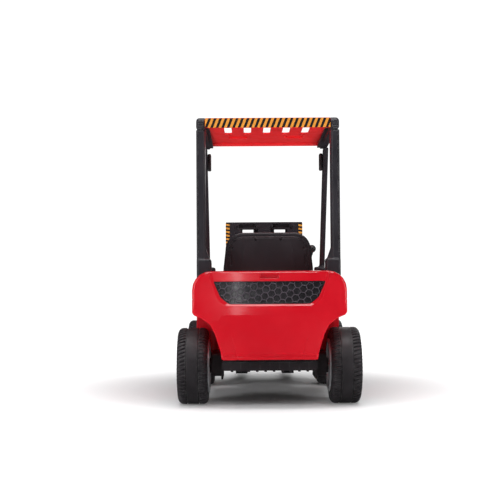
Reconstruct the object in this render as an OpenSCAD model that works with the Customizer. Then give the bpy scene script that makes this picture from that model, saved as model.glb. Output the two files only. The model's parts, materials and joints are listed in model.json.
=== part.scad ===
// Ride-on toy forklift for a small child: a moulded body on a tub chassis, an overhead guard,
// two geared drive motors at the rear, crank-and-tie-rod steering at the front and a mast whose
// forks are raised by a motor-driven screw. Millimetres; +Y is forward, +Z up, and the origin is
// on the ground under the middle of the vehicle.

/* [Body] */
// Width of the moulded body across the fenders
body_w = 476; // [470:1:482]
// Height of the hood behind the seat
hood_z = 430; // [426:1:434]
// Underside of the chassis tub
tub_z = 118; // [116:1:122]
// Wall of the blow-moulded shells
wall = 4; // [3:0.5:5]

/* [Wheels] */
// Tyre outside diameter
wheel_d = 244; // [240:1:246]
// Tyre width
tyre_w = 96; // [90:1:98]
// Width over the outer faces of the tyres
track_outer = 582; // [578:1:590]
// Rear axle's place along the vehicle
rear_y = -420; // [-424:1:-416]
// Front axle's place along the vehicle
front_y = 135; // [133:1:137]
// Radius of the axles and stub axles
axle_r = 6; // [6:0.5:6.5]

/* [Guard] */
// Width over the guard's posts
guard_w = 456; // [452:1:462]
// Height of the guard's top
guard_h = 915; // [900:1:925]
// Number of slots through the roof
roof_slots = 5; // [3:2:5]

/* [Mast] */
// Width over the mast's rails
mast_w = 304; // [302:1:306]
// Height of the mast
mast_h = 627; // [620:1:640]
// Width of a fork
fork_w = 48; // [40:1:50]
// Distance of each fork from the middle
fork_x = 93; // [90:1:96]
// Tip of the forks
fork_tip_y = 590; // [560:5:590]

/* [Hidden] */

$fn = 48;
gap = 0.3;                                // clearance between pieces that only meet
red = [0.80, 0.05, 0.08];
black = [0.13, 0.12, 0.14];
steel = [0.62, 0.63, 0.65];

wheel_r = wheel_d / 2;
wheel_x = track_outer / 2 - tyre_w / 2;   // middle of a tyre
bead_r = 80;                              // where tyre and rim meet
tail_y = -590;
seat_z = 331;                             // top of the seat's plinth
post_out = guard_w / 2;
rail_w = 28;                              // width of the guard's posts and top rails
pillar_w = 18;                            // width of its front pillars
foot_w = 38;                              // width of the front pillars' feet
roof_half = post_out - rail_w - gap;      // half the roof's width between the rails
half_w = body_w / 2;
tub_half = 146.7;                         // half the tub's width between the wheels
tub_top = 149.7;                          // edge that the rear shell stands on
floor_z = 168;                            // raised floor for the feet
nose_half = 138;                          // half the body's width between the steered wheels
nose_y = 261.7;                           // front of the chassis, where the mast bolts on
pin_x = 172;                              // kingpins' distance from the middle
arm = 60;                                 // steering arm's length
crank = 48;                               // steering crank's length
rod_z = 158;                              // underside of the tie rod
column_tilt = 30;                         // steering column's lean from upright
wheel_ring_r = 95;                        // steering wheel's ring
rail_y = 262;                             // back of the mast
rail_d = 50;                              // depth of a mast rail
gear_m = 1.25;                            // gear module
gear_teeth = 48;
pinion_teeth = 12;
gear_gap = gear_m * (gear_teeth + pinion_teeth) / 2;  // distance between the gears' centres
gear_w = 10;
gear_x = 163;                             // inner face of the drive gears
screw_y = 290;                            // lift screw's place behind the carriage
screw_r = 10;                             // lift screw's radius

// ---------------------------------------------------------------- shared shapes

function arc(cx, cy, r, a0, a1, n = 8) =
    [for (i = [0:n]) let (a = a0 + (a1 - a0) * i / n) [cx + r * cos(a), cy + r * sin(a)]];

function mirrored(points) =
    concat(points, [for (i = [len(points) - 1:-1:0]) [-points[i][0], points[i][1]]]);

// Box between two corners.
module span(lo, hi) {
    translate(lo) cube(hi - lo);
}

// Rectangle with round corners, made of squares and circles so that it stays exact.
module round_rect(w, h, r) {
    square([w - 2 * r, h], center = true);
    square([w, h - 2 * r], center = true);
    for (sx = [-1, 1], sy = [-1, 1])
        translate([sx * (w / 2 - r), sy * (h / 2 - r)]) circle(r);
}

// Upright bar with round vertical edges between two corners.
module span_z(lo, hi, r) {
    translate([(lo[0] + hi[0]) / 2, (lo[1] + hi[1]) / 2, lo[2]])
        linear_extrude(hi[2] - lo[2]) round_rect(hi[0] - lo[0], hi[1] - lo[1], r);
}

// The same with its round edges along X.
module span_x(lo, hi, r) {
    translate([lo[0], (lo[1] + hi[1]) / 2, (lo[2] + hi[2]) / 2]) rotate([90, 0, 90])
        linear_extrude(hi[0] - lo[0]) round_rect(hi[1] - lo[1], hi[2] - lo[2], r);
}

// The same with its round edges along Y.
module span_y(lo, hi, r) {
    translate([(lo[0] + hi[0]) / 2, hi[1], (lo[2] + hi[2]) / 2]) rotate([90, 0, 0])
        linear_extrude(hi[1] - lo[1]) round_rect(hi[0] - lo[0], hi[2] - lo[2], r);
}

// Extrudes an outline drawn as [y, z] from x0 to x1.
module along_x(x0, x1) {
    translate([x0, 0, 0]) rotate([90, 0, 90]) linear_extrude(x1 - x0) children();
}

// Extrudes an outline drawn as [x, z] from y0 to y1.
module along_y(y0, y1) {
    translate([0, y1, 0]) rotate([90, 0, 0]) linear_extrude(y1 - y0) children();
}

module pair() {
    children();
    mirror([1, 0, 0]) children();
}

// Puts a shape drawn for the right side on either side.
module on_side(side) {
    if (side > 0) children();
    else mirror([1, 0, 0]) children();
}

module rod_x(x0, x1, y, z, r) {
    translate([x0, y, z]) rotate([0, 90, 0]) cylinder(x1 - x0, r = r);
}

module rod_y(y0, y1, x, z, r) {
    translate([x, y0, z]) rotate([-90, 0, 0]) cylinder(y1 - y0, r = r);
}

// Frame of the steering column: its Z runs up the column, and its origin is level with the tie rod.
module in_column() {
    translate([0, front_y - arm + crank * cos(column_tilt), rod_z + 3 + crank * sin(column_tilt)])
        rotate([column_tilt, 0, 0]) children();
}

// ---------------------------------------------------------------- wheels

tyre_outline = concat(
    [[bead_r, -40], [96, -46], [110, -45.6]],
    arc(wheel_r - 9, -36.5, 9, -80, -10, 4),
    [[wheel_r, -21], [wheel_r - 3, -20], [wheel_r - 3, -18], [wheel_r, -17],
     [wheel_r, 17], [wheel_r - 3, 18], [wheel_r - 3, 20], [wheel_r, 21]],
    arc(wheel_r - 9, 36.5, 9, 10, 80, 4),
    [[110, 45.6], [96, 46], [bead_r, 40], [bead_r, 34], [94, 40.5], [108, 39.5],
     [wheel_r - 7, 33], [wheel_r - 7, -33], [108, -39.5], [94, -40.5], [bead_r, -34]]
);

// Blow-moulded tyre, hollow and open towards the rim, with a cut tread on both shoulders.
module tyre(side, y) {
    color([0.10, 0.10, 0.11]) translate([side * wheel_x, y, wheel_r]) rotate([0, 90, 0])
        rotate_extrude($fn = 96) scale([1, tyre_w / 92]) polygon(tyre_outline);
}

rim_outline = [
    [axle_r + 0.05, -49], [22, -49], [22, 4], [58, 12], [74, 2], [74, -52.8], [87, -52.8],
    [87, -47.5], [bead_r - gap, -44], [bead_r - gap, 43], [84, 43.6], [84, 45.6], [74, 45.6],
    [58, 18], [22, 12], [22, 30], [axle_r + 0.05, 30]
];

module rim_body() {
    difference() {
        rotate_extrude($fn = 96) polygon(rim_outline);
        for (a = [0:60:300]) rotate(a) translate([40, 0, -5]) cylinder(40, r = 8);
    }
}

// Rim turned so that its outer face looks outwards. A driven rim has a hexagonal boss that
// enters the gearbox.
module rim(side, y, driven) {
    color([0.72, 0.73, 0.75]) translate([side * wheel_x, y, wheel_r]) rotate([0, side * 90, 0]) {
        rim_body();
        if (driven) difference() {
            translate([0, 0, gear_x - wheel_x]) cylinder(wheel_x - gear_x - 48.5, r = 13, $fn = 6);
            translate([0, 0, gear_x - wheel_x - 1]) cylinder(60, r = axle_r + 0.05);
        }
    }
}

// Spur gear with straight-flanked teeth and plenty of backlash, as in a toy's gearbox.
module spur(teeth, shift = 0) {
    pitch_r = gear_m * teeth / 2;
    root_r = pitch_r - 1.25 * gear_m;
    linear_extrude(gear_w) {
        circle(root_r, $fn = 96);
        for (i = [0:teeth - 1]) rotate((i + shift) * 360 / teeth)
            polygon([[root_r - 0.6, -0.95], [pitch_r, -0.66], [pitch_r + 0.85 * gear_m, -0.34],
                     [pitch_r + 0.85 * gear_m, 0.34], [pitch_r, 0.66], [root_r - 0.6, 0.95]]);
    }
}

module drive_gear(side) {
    color([0.92, 0.90, 0.84]) on_side(side) translate([gear_x, rear_y, wheel_r])
        rotate([0, 90, 0]) difference() {
            spur(gear_teeth);
            translate([0, 0, -1]) cylinder(gear_w + 2, r = 13 + gap, $fn = 6);
        }
}

// Pinion pressed on the motor's shaft.
module drive_pinion(side) {
    color([0.75, 0.62, 0.30]) on_side(side)
        translate([gear_x, rear_y + gear_gap, wheel_r]) rotate([0, 90, 0]) {
            rotate(90) spur(pinion_teeth, 0.5);
            translate([0, 0, -24]) cylinder(24, r = 2.5);
            translate([0, 0, gear_w]) cylinder(5, r = 2.5);
        }
}

module gearbox(side) {
    color(black) on_side(side) difference() {
        union() {
            span_x([153, -460, 91], [183, -340, 166], 10);
            span([147, -468, 82], [153.1, -332, 172]);
            rod_x(182, 190, rear_y, wheel_r, 24);
        }
        rod_x(158, 178, rear_y, wheel_r, 33);
        rod_x(158, 178, rear_y + gear_gap, wheel_r, 11);
        rod_x(140, 159, rear_y + gear_gap, wheel_r, 10);
        rod_x(177, 179.5, rear_y + gear_gap, wheel_r, 2.7);
        rod_x(140, 159, rear_y, wheel_r, axle_r + 0.5);
        rod_x(177, 191, rear_y, wheel_r, 14);
        for (y = [-462, -338], z = [88, 166]) rod_x(146, 154, y, z, 2.2);
    }
}

// Two motors lying across the tub, each with its nose through the tub's wall.
module drive_motors() {
    y = rear_y + gear_gap;
    color(steel) pair() difference() {
        union() {
            rod_x(84, 88.1, y, wheel_r, 7);
            rod_x(88, tub_half - wall - gap, y, wheel_r, 17.5);
            rod_x(tub_half - wall - 1, tub_half, y, wheel_r, 9);
        }
        rod_x(137, tub_half + 1, y, wheel_r, 3);
    }
}

module rear_axle() {
    color(steel) rod_x(-287, 287, rear_y, wheel_r, axle_r);
}

module axle_nut(side, y) {
    color(steel) on_side(side) translate([276, y, wheel_r]) rotate([0, 90, 0]) difference() {
        union() {
            cylinder(1.4, r = 12);
            translate([0, 0, 1]) cylinder(7, r = 10, $fn = 6);
        }
        translate([0, 0, -1]) cylinder(12, r = axle_r);
    }
}

module rear_axle_nuts() {
    for (side = [-1, 1]) axle_nut(side, rear_y);
}

// ---------------------------------------------------------------- chassis

// Open trough for the battery, the axle and the electronics, with a raised floor for the feet,
// side sills and a low nose that the mast bolts to.
module chassis_tub() {
    color(black) difference() {
        union() {
            span_y([-tub_half, -562, tub_z], [tub_half, 8, tub_top], 8);
            span([-tub_half + 3, -156, tub_top - 12], [tub_half - 3, -29, floor_z]);
            span_y([-half_w + 2, -284, tub_z], [half_w - 2, -40, 152], 10);
            span([-nose_half, 7, tub_z], [nose_half, nose_y - 6, tub_z + 6]);
            span([-130, 226, tub_z], [130, nose_y, 168]);
        }
        // bays, open above
        span([-tub_half + wall, -558, tub_z + wall], [tub_half - wall, -478, floor_z + 1]);
        span([-tub_half + wall, -322, tub_z + wall], [tub_half - wall, -160, floor_z + 1]);
        // bay for the axle and motors, open above and below
        span([-tub_half + wall, -474, tub_z - 1], [tub_half - wall, -326, floor_z + 1]);
        for (y = [rear_y, rear_y + gear_gap])
            rod_x(-tub_half - 1, tub_half + 1, y, wheel_r, 9.5);
        // hollows under the floor, in the sills and in the nose block
        span([-tub_half + wall, -156, tub_z - 1], [tub_half - wall, -34, floor_z - wall]);
        for (side = [-1, 1]) on_side(side)
            span([tub_half, -280, tub_z - 1], [half_w - 7, -44, 148]);
        for (x = [-62, 62]) span([x - 56, 232, tub_z + 8], [x + 56, nose_y - 6, 170]);
    }
}

// Rear outline of the moulded body, right half, drawn inwards by t.
function shell_outline(t) = concat(
    [[148 - t, 150 - (t > 0 ? 5 : 0)], [152 - t, 178], [168 - t, 230], [184 - t, 262 + t / 2],
     [210 - t, 281 + t], [half_w - 6 - t, 290 + t], [half_w - t, 298 + t]],
    [[half_w - t, 345]],
    arc(half_w - 58, hood_z - 62, 58 - t, 0, 90, 8)
);

// Side outline of the hood, the fenders and the seat's plinth, drawn inwards by t.
function hood_side(t) = concat(
    [[-576 + t, 150], [-578 + t, 168], [-584 + t, 172], [tail_y + t, 290]],
    arc(-562, hood_z - 26, 26 - t, 170, 90, 5),
    [[-458 - t, hood_z - t], [-458 - t, seat_z - t], [-166 - t, seat_z - t],
     [-160 - t, seat_z - 10], [-160 - t, 150]]
);

function fender_side(t) = concat(
    [[-586 + t, 262 + t], [tail_y + t, 290]],
    arc(-562, hood_z - 26, 26 - t, 170, 90, 5),
    [[-440 - t / 2, hood_z - t], [-392 - t / 2, 404 - t], [-300, 352 - t], [-276 - t, 318 - t],
     [-270 - t, 262 + t]]
);

// Hood, side fenders and the plinth under the seat, in one blow-moulded shell.
module rear_shell() {
    color(red) difference() {
        intersection() {
            union() {
                along_x(-half_w, half_w) polygon(hood_side(0));
                along_x(-half_w, half_w) polygon(fender_side(0));
            }
            along_y(-600, -150) polygon(mirrored(shell_outline(0)));
            union() {
                span_z([-half_w, tail_y - 60, 140], [half_w, -270, 440], 60);
                span([-150, -275, 140], [150, -150, 340]);
            }
        }
        // inside, with a skin left round the wheel arches
        difference() {
            union() {
                intersection() {
                    along_x(-half_w, half_w) polygon(hood_side(wall));
                    along_y(-600, -464) polygon(mirrored(shell_outline(wall)));
                }
                intersection() {
                    span([-154, -465, 100], [154, -166, seat_z - wall]);
                    along_y(-465, -166) polygon(mirrored(shell_outline(wall)));
                    union() {
                        span([-154, -466, 100], [154, -279, 400]);
                        span([-146, -280, 100], [146, -160, 400]);
                    }
                }
                pair() intersection() {
                    along_x(153, half_w - wall) polygon(fender_side(wall));
                    along_y(-466, -276) polygon(shell_outline(wall));
                }
            }
            pair() rod_x(154, 260, rear_y, wheel_r, 150);
        }
        span([-140, -560, 140], [140, -166, 156]);
        // wheel arches, and cut-outs for the gearboxes' flanges
        pair() rod_x(158, 260, rear_y, wheel_r, 146);
        pair() span([140, -469, 140], [160, -331, 173]);
        pair() span([140, -290, 140], [160, -150, 152 + gap]);
        // pockets that the guard's feet stand in
        pair() span([post_out - 45 - gap, -504 - gap, 395], [post_out + 20, -426 + gap, 470]);
        // seat for the grille, finger pull and shoulder grooves
        grille_plate(1.2, -6);
        span([-29, tail_y - 5, 402], [29, tail_y + 10, 417]);
        pair() span([182, -600, 402], [184, -566, 440]);
        // seat's space
        span([-149, -457, seat_z], [149, -260, 460]);
    }
}

// Tapered grille outline on the back of the hood.
module grille_plate(extra, depth) {
    along_y(tail_y - 10 * (depth < 0 ? 1 : 0), tail_y + 6)
        polygon(mirrored(concat([[172 + extra, 394 + extra], [166 + extra, 378], [152 + extra, 346]],
                                arc(122, 350, 26 + extra, -10, -90, 4))));
}

// Honeycomb panel let into the back of the hood. Its lattice of cells is tilted.
module rear_grille() {
    pitch = 21.7;                         // distance between neighbouring cells
    tilt = 19.4;                          // angle of one row of cells above the horizontal
    color(black) difference() {
        along_y(tail_y + 1.5, tail_y + 5.6) polygon(mirrored(concat(
            [[172, 394], [166, 378], [152, 346]], arc(122, 350, 26, -10, -90, 4))));
        for (i = [-12:12], j = [-9:9]) {
            x = -68 + pitch * (i * cos(tilt) + j * cos(tilt + 60));
            z = 369 + pitch * (i * sin(tilt) + j * sin(tilt + 60));
            if (abs(x) < 151 - (382 - z) * 0.62 && z > 337.5 && z < 381)
                translate([x, tail_y + 3.6, z]) rotate([90, 0, 0]) rotate([0, 0, tilt - 30])
                    cylinder(4, r = pitch * 0.53, $fn = 6);
        }
    }
}

// Front body: nose between the wheels, fenders above them and the pod that holds the dashboard.
dash_s = 300;                             // dashboard's place along the steering column

function column_point(y, s) = [
    front_y - arm + (crank + y) * cos(column_tilt) - s * sin(column_tilt),
    rod_z + 3 + (crank + y) * sin(column_tilt) + s * cos(column_tilt)
];

cowl_side = concat(
    [[-24, 262], [-30, 330]],
    [column_point(-62, dash_s - 16), column_point(-56, dash_s - 4), column_point(-50, dash_s),
     column_point(50, dash_s), [28, 473]],
    [[60, 470], [150, 446]],
    arc(206, 390, 44, 60, 10, 4),
    [[254, 300], [254, 262]]
);

function cowl_front(t) = concat(
    [[half_w - t, 255]],
    [[half_w - t, 345]],
    arc(half_w - 60, 350, 60 - t, 0, 80, 6),
    [[128 - t, 420 - t], [112 - t, 500]]
);

module front_cowl() {
    color(red) difference() {
        union() {
            intersection() {
                along_x(-half_w, half_w) polygon(cowl_side);
                along_y(-90, 256) polygon(mirrored(cowl_front(0)));
                span_z([-half_w, -120, 200], [half_w, 254, 480], 30);
            }
            span([-nose_half + 4, -26, floor_z + 1], [nose_half - 4, 222, 263]);
        }
        // hollow inside, open below
        intersection() {
            along_x(-half_w, half_w) polygon(concat(
                [[-20, 250], [-26, 330]],
                [column_point(-57, dash_s - 18), column_point(-45, dash_s - wall),
                 column_point(49, dash_s - wall), [58, 466], [148, 442]],
                arc(206, 390, 40, 60, 10, 4), [[250, 300], [250, 250]]
            ));
            along_y(-90, 250) polygon(mirrored(cowl_front(wall)));
        }
        span([-nose_half + 8, -22, 160], [nose_half - 8, 218, 268]);
        dash_plate(gap);
        // pockets for the guard's front feet
        pair() span([post_out - foot_w - gap, 96 - gap, 382], [post_out + 20, 160 + gap, 470]);
        // headlights
        pair() rod_y(236, 262, 196, 318, 24.4);
    }
}

// Plate that faces the driver across the steering column, drawn larger by t for its seat.
module dash_plate(t) {
    in_column() span([-92 - t, -38 - t, dash_s - 5 - t], [92 + t, 38 + t, dash_s + 2]);
}

module dash_panel() {
    color(black) difference() {
        dash_plate(0);
        in_column() {
            cylinder(420, r = 11.9);
            translate([62, 0, 0]) cylinder(420, r = 11);
            span([-78, -14, 0], [-46, 14, 420]);
        }
    }
}

module floor_mat() {
    color([0.16, 0.16, 0.17]) {
        pair() difference() {
            span_z([150, -152, 152.3], [226, -46, 156.3], 8);
            for (i = [0:6]) span([156, -146 + i * 15, 154.6], [220, -140 + i * 15, 158]);
        }
        difference() {
            span_z([-142, -155, floor_z + gap], [142, -30, floor_z + 4], 8);
            for (i = [-4:4]) span([i * 26 - 6, -140, floor_z + 2.4],
                                  [i * 26 + 6, -44, floor_z + 9]);
        }
    }
}

// ---------------------------------------------------------------- seat

function seat_back_outline(t) = mirrored(concat(
    [[145 - t, 332 + t], [145 - t, 436], [139 - t, 486]],
    arc(82, 495, 56 - t, 10, 84, 7)
));

// Bucket seat: pan, side bolsters and backrest in one shell, hollow behind and below.
module seat_shell() {
    z = seat_z + 0.5;
    color(black) difference() {
        union() {
            span_x([-145, -412, z], [145, -175, 366], 12);
            pair() span_x([112, -412, z], [145, -200, 392], 14);
            intersection() {
                along_y(-450, -380) polygon(seat_back_outline(0));
                along_x(-150, 150) polygon([[-428, z], [-446, 560], [-416, 560], [-386, z]]);
            }
        }
        // dish of the pan and of the backrest
        rod_x(-108, 108, -285, 726, 372);
        intersection() {
            along_y(-450, -380) polygon(mirrored(concat([[112, 372], [112, 470]],
                                                        arc(80, 478, 32, 10, 84, 5))));
            along_x(-112, 112) polygon([[-414, 372], [-432, 560], [-380, 560], [-380, 372]]);
        }
        // hollows
        span([-138, -400, z - 1], [138, -184, 348]);
        intersection() {
            along_y(-460, -380) polygon(seat_back_outline(9));
            along_x(-136, 136) polygon([[-430, 352], [-448, 560], [-440, 560], [-422, 352]]);
        }
    }
}

cover_screws = [[116, 500], [41, 527]];   // screws of the seat's cover, right half
screw_hole = 2.6;

// Flat cover screwed over the hollow back of the seat.
module seat_back_cover() {
    color(black) difference() {
        intersection() {
            along_y(-460, -420) polygon(mirrored(concat([[134, 336], [134, 436], [128, 482]],
                                                        arc(80, 488, 50, 10, 84, 7))));
            along_x(-150, 150) polygon([[-436, 331.5], [-453.6, 560], [-446.6, 560],
                                        [-428.6, 331.5]]);
        }
        pair() {
            span([117, -470, 445], [121, -400, 478]);
            for (p = cover_screws) rod_y(-470, -400, p[0], p[1], screw_hole);
        }
    }
}

// ---------------------------------------------------------------- guard and roof

module guard_rear_posts() {
    color(black) pair() difference() {
        union() {
            span_z([post_out - rail_w, -500, 396], [post_out, -446, guard_h - 40], 7);
            span_z([post_out - 45, -504, 396], [post_out - 0.6, -426, 478], 8);
            along_y(-498, -450) polygon([[post_out - 45, 477], [post_out - 10, 477],
                                         [post_out - 10, 506], [post_out - 27, 506]]);
        }
        span([post_out - 24, -496, 390], [post_out - 4, -450, guard_h - 44]);
    }
}

// Rails that join the posts to the pillars under the roof's edges.
module guard_top_rails() {
    color(black) pair() difference() {
        union() {
            along_x(post_out - rail_w, post_out) polygon(concat(
                [[-500, guard_h - 39.7]],
                arc(-486, guard_h - 14, 14, 180, 90, 4),
                [[-96, guard_h]],
                arc(-84, guard_h - 14, 14, 90, 20, 4),
                [[-54, guard_h - 41], [-100, guard_h - 41], [-116, guard_h - 39.7]]
            ));
            along_x(post_out - rail_w - 12, post_out - rail_w + 1) polygon(
                [[-478, guard_h - 24], [-300, guard_h - 26], [-130, guard_h - 39.7],
                 [-74, guard_h - 39.7], [-74, guard_h - 36], [-110, guard_h - 22.4],
                 [-478, guard_h - 22.4]]);
        }
        span([post_out - 26, -440, guard_h - 45], [post_out - 4, -120, guard_h - 4]);
        for (i = [0:5]) span([post_out - rail_w - 13, -440 + i * 56, guard_h - 50],
                             [post_out - rail_w - 8, -400 + i * 56, guard_h - 24]);
    }
}

// Pillars that lean forward from the roof to their wide feet in the front body.
module guard_front_pillars() {
    color(black) pair() difference() {
        union() {
            along_x(post_out - pillar_w, post_out) polygon(
                [[-100, guard_h - 41.3], [-54, guard_h - 41.3], [160, 440], [160, 384], [96, 384],
                 [96, 440], [118, 440]]);
            span_z([post_out - foot_w, 98, 384], [post_out - 0.6, 158, 446], 6);
        }
        along_x(post_out - pillar_w + 4, post_out - 4) polygon(
            [[-88, guard_h - 60], [-80, guard_h - 60], [134, 450], [128, 450]]);
    }
}

// Slot through the roof, drawn larger by t for the wall that the moulding leaves round it.
module roof_slot(i, t) {
    x = (i - (roof_slots - 1) / 2) * 64.5;
    span_z([x - 12 - t, -462 - t, guard_h - 40], [x + 12 + t, -282 + t, guard_h + 5], 8);
}

module roof_panel() {
    z0 = guard_h - 22;
    color(red) difference() {
        along_x(-roof_half, roof_half) polygon(concat(
            [[-501, guard_h - 34], [-496, guard_h - 34], [-494, z0], [-345, z0],
             [-335, z0 + 2], [-76, z0], [-74, guard_h - 32], [-70, guard_h - 32]],
            [[-68, guard_h - 8]], arc(-78, guard_h - 11, 9, 20, 90, 3),
            arc(-491, guard_h - 12, 10, 90, 170, 3)
        ));
        // thin field round the slots, sunk into the top, with a sloping front
        along_x(-158, 158) polygon([
            [-476, z0 + 7], [-280, z0 + 7], [-194, guard_h - 2], [-194, guard_h + 9], [-476, guard_h + 9]
        ]);
        for (i = [0:roof_slots - 1]) roof_slot(i, 0);
        pair() span_z([65, -252, z0 - 10], [128, -186, z0 + 8], 8);
        // blown hollow, vented downwards
        difference() {
            span([-roof_half + 4, -490, z0 + 5], [roof_half - 4, -80, guard_h - 4]);
            span_z([-161.5, -479.5, z0 - 10], [161.5, -190, guard_h + 10], 3);
            pair() span_z([61, -256, z0 - 10], [132, -182, z0 + 12], 8);
        }
        translate([0, -135, z0 - 5]) cylinder(15, r = 3);
    }
}

// Warning-striped strip on the roof's rear edge.
module roof_stripe() {
    x = roof_half - 0.7;
    color([0.95, 0.65, 0.15]) span([-x, -502.2, guard_h - 33.6], [x, -501.2, guard_h - 3.6]);
}

// Lamps clipped inside the front pillars.
module work_lights() {
    w = 12.7;
    color(black) pair() translate([post_out - pillar_w - gap - w, -62, 796]) {
        span_x([0, 0, 0], [w, 30, 62], 7);
        color([0.95, 0.93, 0.85]) span_x([1.5, 29, 8], [w - 1.5, 33, 54], 1.6);
    }
}

module headlights() {
    color([0.93, 0.94, 0.96]) pair() translate([196, 0, 318]) rotate([-90, 0, 0]) {
        translate([0, 0, 238]) cylinder(14, r = 24);
        translate([0, 0, 251.9]) cylinder(4, r1 = 22, r2 = 14);
    }
}

// ---------------------------------------------------------------- electrics

module battery() {
    color([0.20, 0.21, 0.24]) {
        span_z([-75, -555, tub_z + wall + gap], [75, -481, 216], 4);
        for (x = [-50, 50]) translate([x, -520, 215.9]) cylinder(6, r = 5);
    }
}

module control_board() {
    color([0.10, 0.35, 0.20]) span([-50, -300, 124], [50, -220, 126]);
    color([0.15, 0.15, 0.16]) for (x = [-28, 0, 28]) span([x - 9, -280, 125.9], [x + 9, -245, 142]);
    color(black) for (x = [-44, 44], y = [-294, -226]) translate([x, y, tub_z + wall + 0.1])
        cylinder(1.95, r = 3);
}

// ---------------------------------------------------------------- steering

module front_axle_beam() {
    color(black) difference() {
        union() {
            span([-pin_x + 8, front_y - 11, tub_z + 6.2], [pin_x - 8, front_y + 11, 150]);
            pair() translate([pin_x, front_y, 98]) cylinder(52, r = 13);
        }
        pair() translate([pin_x, front_y, 90]) cylinder(70, r = axle_r + 0.05);
        pair() span([60, front_y - 20, 131], [140, front_y - 4, 160]);
        pair() span([60, front_y + 4, 131], [140, front_y + 20, 160]);
    }
}

// C-shaped steering knuckle with its kingpin, stub axle and steering arm.
module knuckle(side) {
    color(steel) on_side(side) {
        translate([pin_x, front_y, 0]) {
            translate([0, 0, 90]) cylinder(68, r = axle_r);
            for (z = [91, 150.4]) translate([0, 0, z]) difference() {
                union() {
                    cylinder(6.6, r = 12);
                    span([0, -12, 0], [21, 12, 6.6]);
                }
            }
            span([15.5, -12, 91], [21, 12, 157]);
            // arm and its pivot pin
            translate([0, 0, 150.4]) span([-8, -arm, 0], [8, 0, 6.6]);
            translate([0, -arm, 150.4]) cylinder(6.6, r = 8);
            translate([0, -arm, 156]) cylinder(14, r = 4);
        }
        rod_x(pin_x + 20, 287, front_y, wheel_r, axle_r);
    }
}

module tie_rod() {
    y = front_y - arm;
    color(steel) difference() {
        union() {
            span([-pin_x, y - 8, rod_z], [pin_x, y + 8, rod_z + 6]);
            for (side = [-1, 1]) translate([side * pin_x, y, rod_z]) cylinder(6, r = 8);
            span([-20, y - 17, rod_z], [20, y + 17, rod_z + 6]);
        }
        translate([-pin_x, y, rod_z - 1]) cylinder(8, r = 4.06);
        translate([pin_x, y, rod_z - 1]) cylinder(8, r = 4.8);
        span([-4.4, y - 11, rod_z - 1], [4.4, y + 11, rod_z + 7]);
    }
}

// Bent steel column: its crank pin stands in the tie rod's slot.
module steering_column() {
    color(steel) in_column() {
        translate([0, 0, 12]) cylinder(350, r = axle_r);
        translate([0, -crank, -14]) cylinder(38, r = 3.5);
        translate([0, 0, 14]) linear_extrude(8) {
            translate([-6, -crank]) square([12, crank]);
            translate([0, -crank]) circle(6);
            circle(9);
        }
    }
}

module column_bush() {
    color([0.9, 0.9, 0.86]) in_column() translate([0, 0, dash_s - 7]) difference() {
        union() {
            cylinder(13, r = 11.6);
            translate([0, 0, 9.3]) cylinder(3.7, r = 15);
        }
        translate([0, 0, -1]) cylinder(20, r = axle_r + 0.08);
    }
}

module steering_wheel() {
    color(black) in_column() translate([0, 0, 352]) {
        rotate_extrude($fn = 96) translate([wheel_ring_r, 6]) circle(11, $fn = 32);
        difference() {
            union() {
                translate([0, 0, -10]) cylinder(18, r = 34);
                for (a = [-90, 25, 155]) rotate(a)
                    translate([28, -13, -5]) cube([wheel_ring_r - 32, 26, 12]);
            }
            translate([0, 0, -20]) cylinder(60, r = axle_r + 6.1);
            translate([0, 0, 3]) cylinder(10, r = 28.3);
        }
        translate([0, 0, -18]) difference() {
            cylinder(21, r = axle_r + 6.1);
            translate([0, 0, -1]) cylinder(30, r = axle_r);
        }
    }
}

module horn_pad() {
    color(red) in_column() translate([0, 0, 355.2]) difference() {
        union() {
            translate([0, 0, 9.2]) cylinder(6, r1 = 28, r2 = 22);
            cylinder(9.3, r = 28);
        }
        translate([0, 0, -1]) cylinder(10, r = 14);
        translate([0, 0, 3]) cylinder(20, r = 12.4);
    }
}

module horn_button() {
    color([0.95, 0.75, 0.15]) in_column() translate([0, 0, 366.5]) {
        cylinder(7, r = 12);
        translate([0, 0, 6.9]) cylinder(2, r1 = 12, r2 = 9);
    }
}

// ---------------------------------------------------------------- controls

lever_y = -122;
lever_z = 300;

module lever_console() {
    color(black) difference() {
        span_z([104, -158, 172.5], [146, -88, 322], 8);
        span([110, -152, 160], [140, -94, 316]);
        span([116, -146, 310], [136, -98, 330]);
    }
}

// Raises and lowers the forks.
module lift_lever() {
    color(black) translate([125, lever_y, lever_z]) {
        rod_x(-12, 12, 0, 0, 6);
        rotate([0, 10.5, 0]) {
            cylinder(202, r = 5);
            translate([0, 0, 211]) sphere(14, $fn = 48);
            translate([0, 0, 28]) cylinder(16, r1 = 8, r2 = 5.5);
        }
    }
}

module pedal() {
    color([0.30, 0.30, 0.32]) translate([58, -102, floor_z + 12]) rotate([28, 0, 0]) {
        difference() {
            span_z([-24, 0, -3], [24, 62, 3], 6);
            for (i = [0:4]) span([-18, 12 + i * 10, 1.6], [18, 15 + i * 10, 5]);
        }
        rod_x(-24, 24, 0, 0, 4);
    }
}

module power_button() {
    color([0.85, 0.10, 0.10]) in_column() translate([62, 0, dash_s - 8]) cylinder(17, r = 10.5);
}

module direction_rocker() {
    color([0.2, 0.2, 0.22]) in_column() translate([-62, 0, dash_s - 2]) {
        rod_x(-15.5, 15.5, 0, 0, 4.5);
        span([-15.5, -12, 1], [15.5, 12, 9]);
    }
}

// ---------------------------------------------------------------- mast and carriage

rail_in = mast_w / 2 - 34;
rail_out = mast_w / 2;

// Channel rails, open towards the middle, that guide the carriage.
module mast_rails() {
    color(black) pair() difference() {
        span([rail_in, rail_y, 48], [rail_out, rail_y + rail_d, mast_h]);
        span([rail_in - 1, rail_y + 6, 40], [rail_out - 6, rail_y + rail_d - 6, mast_h - 12]);
    }
}

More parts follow.
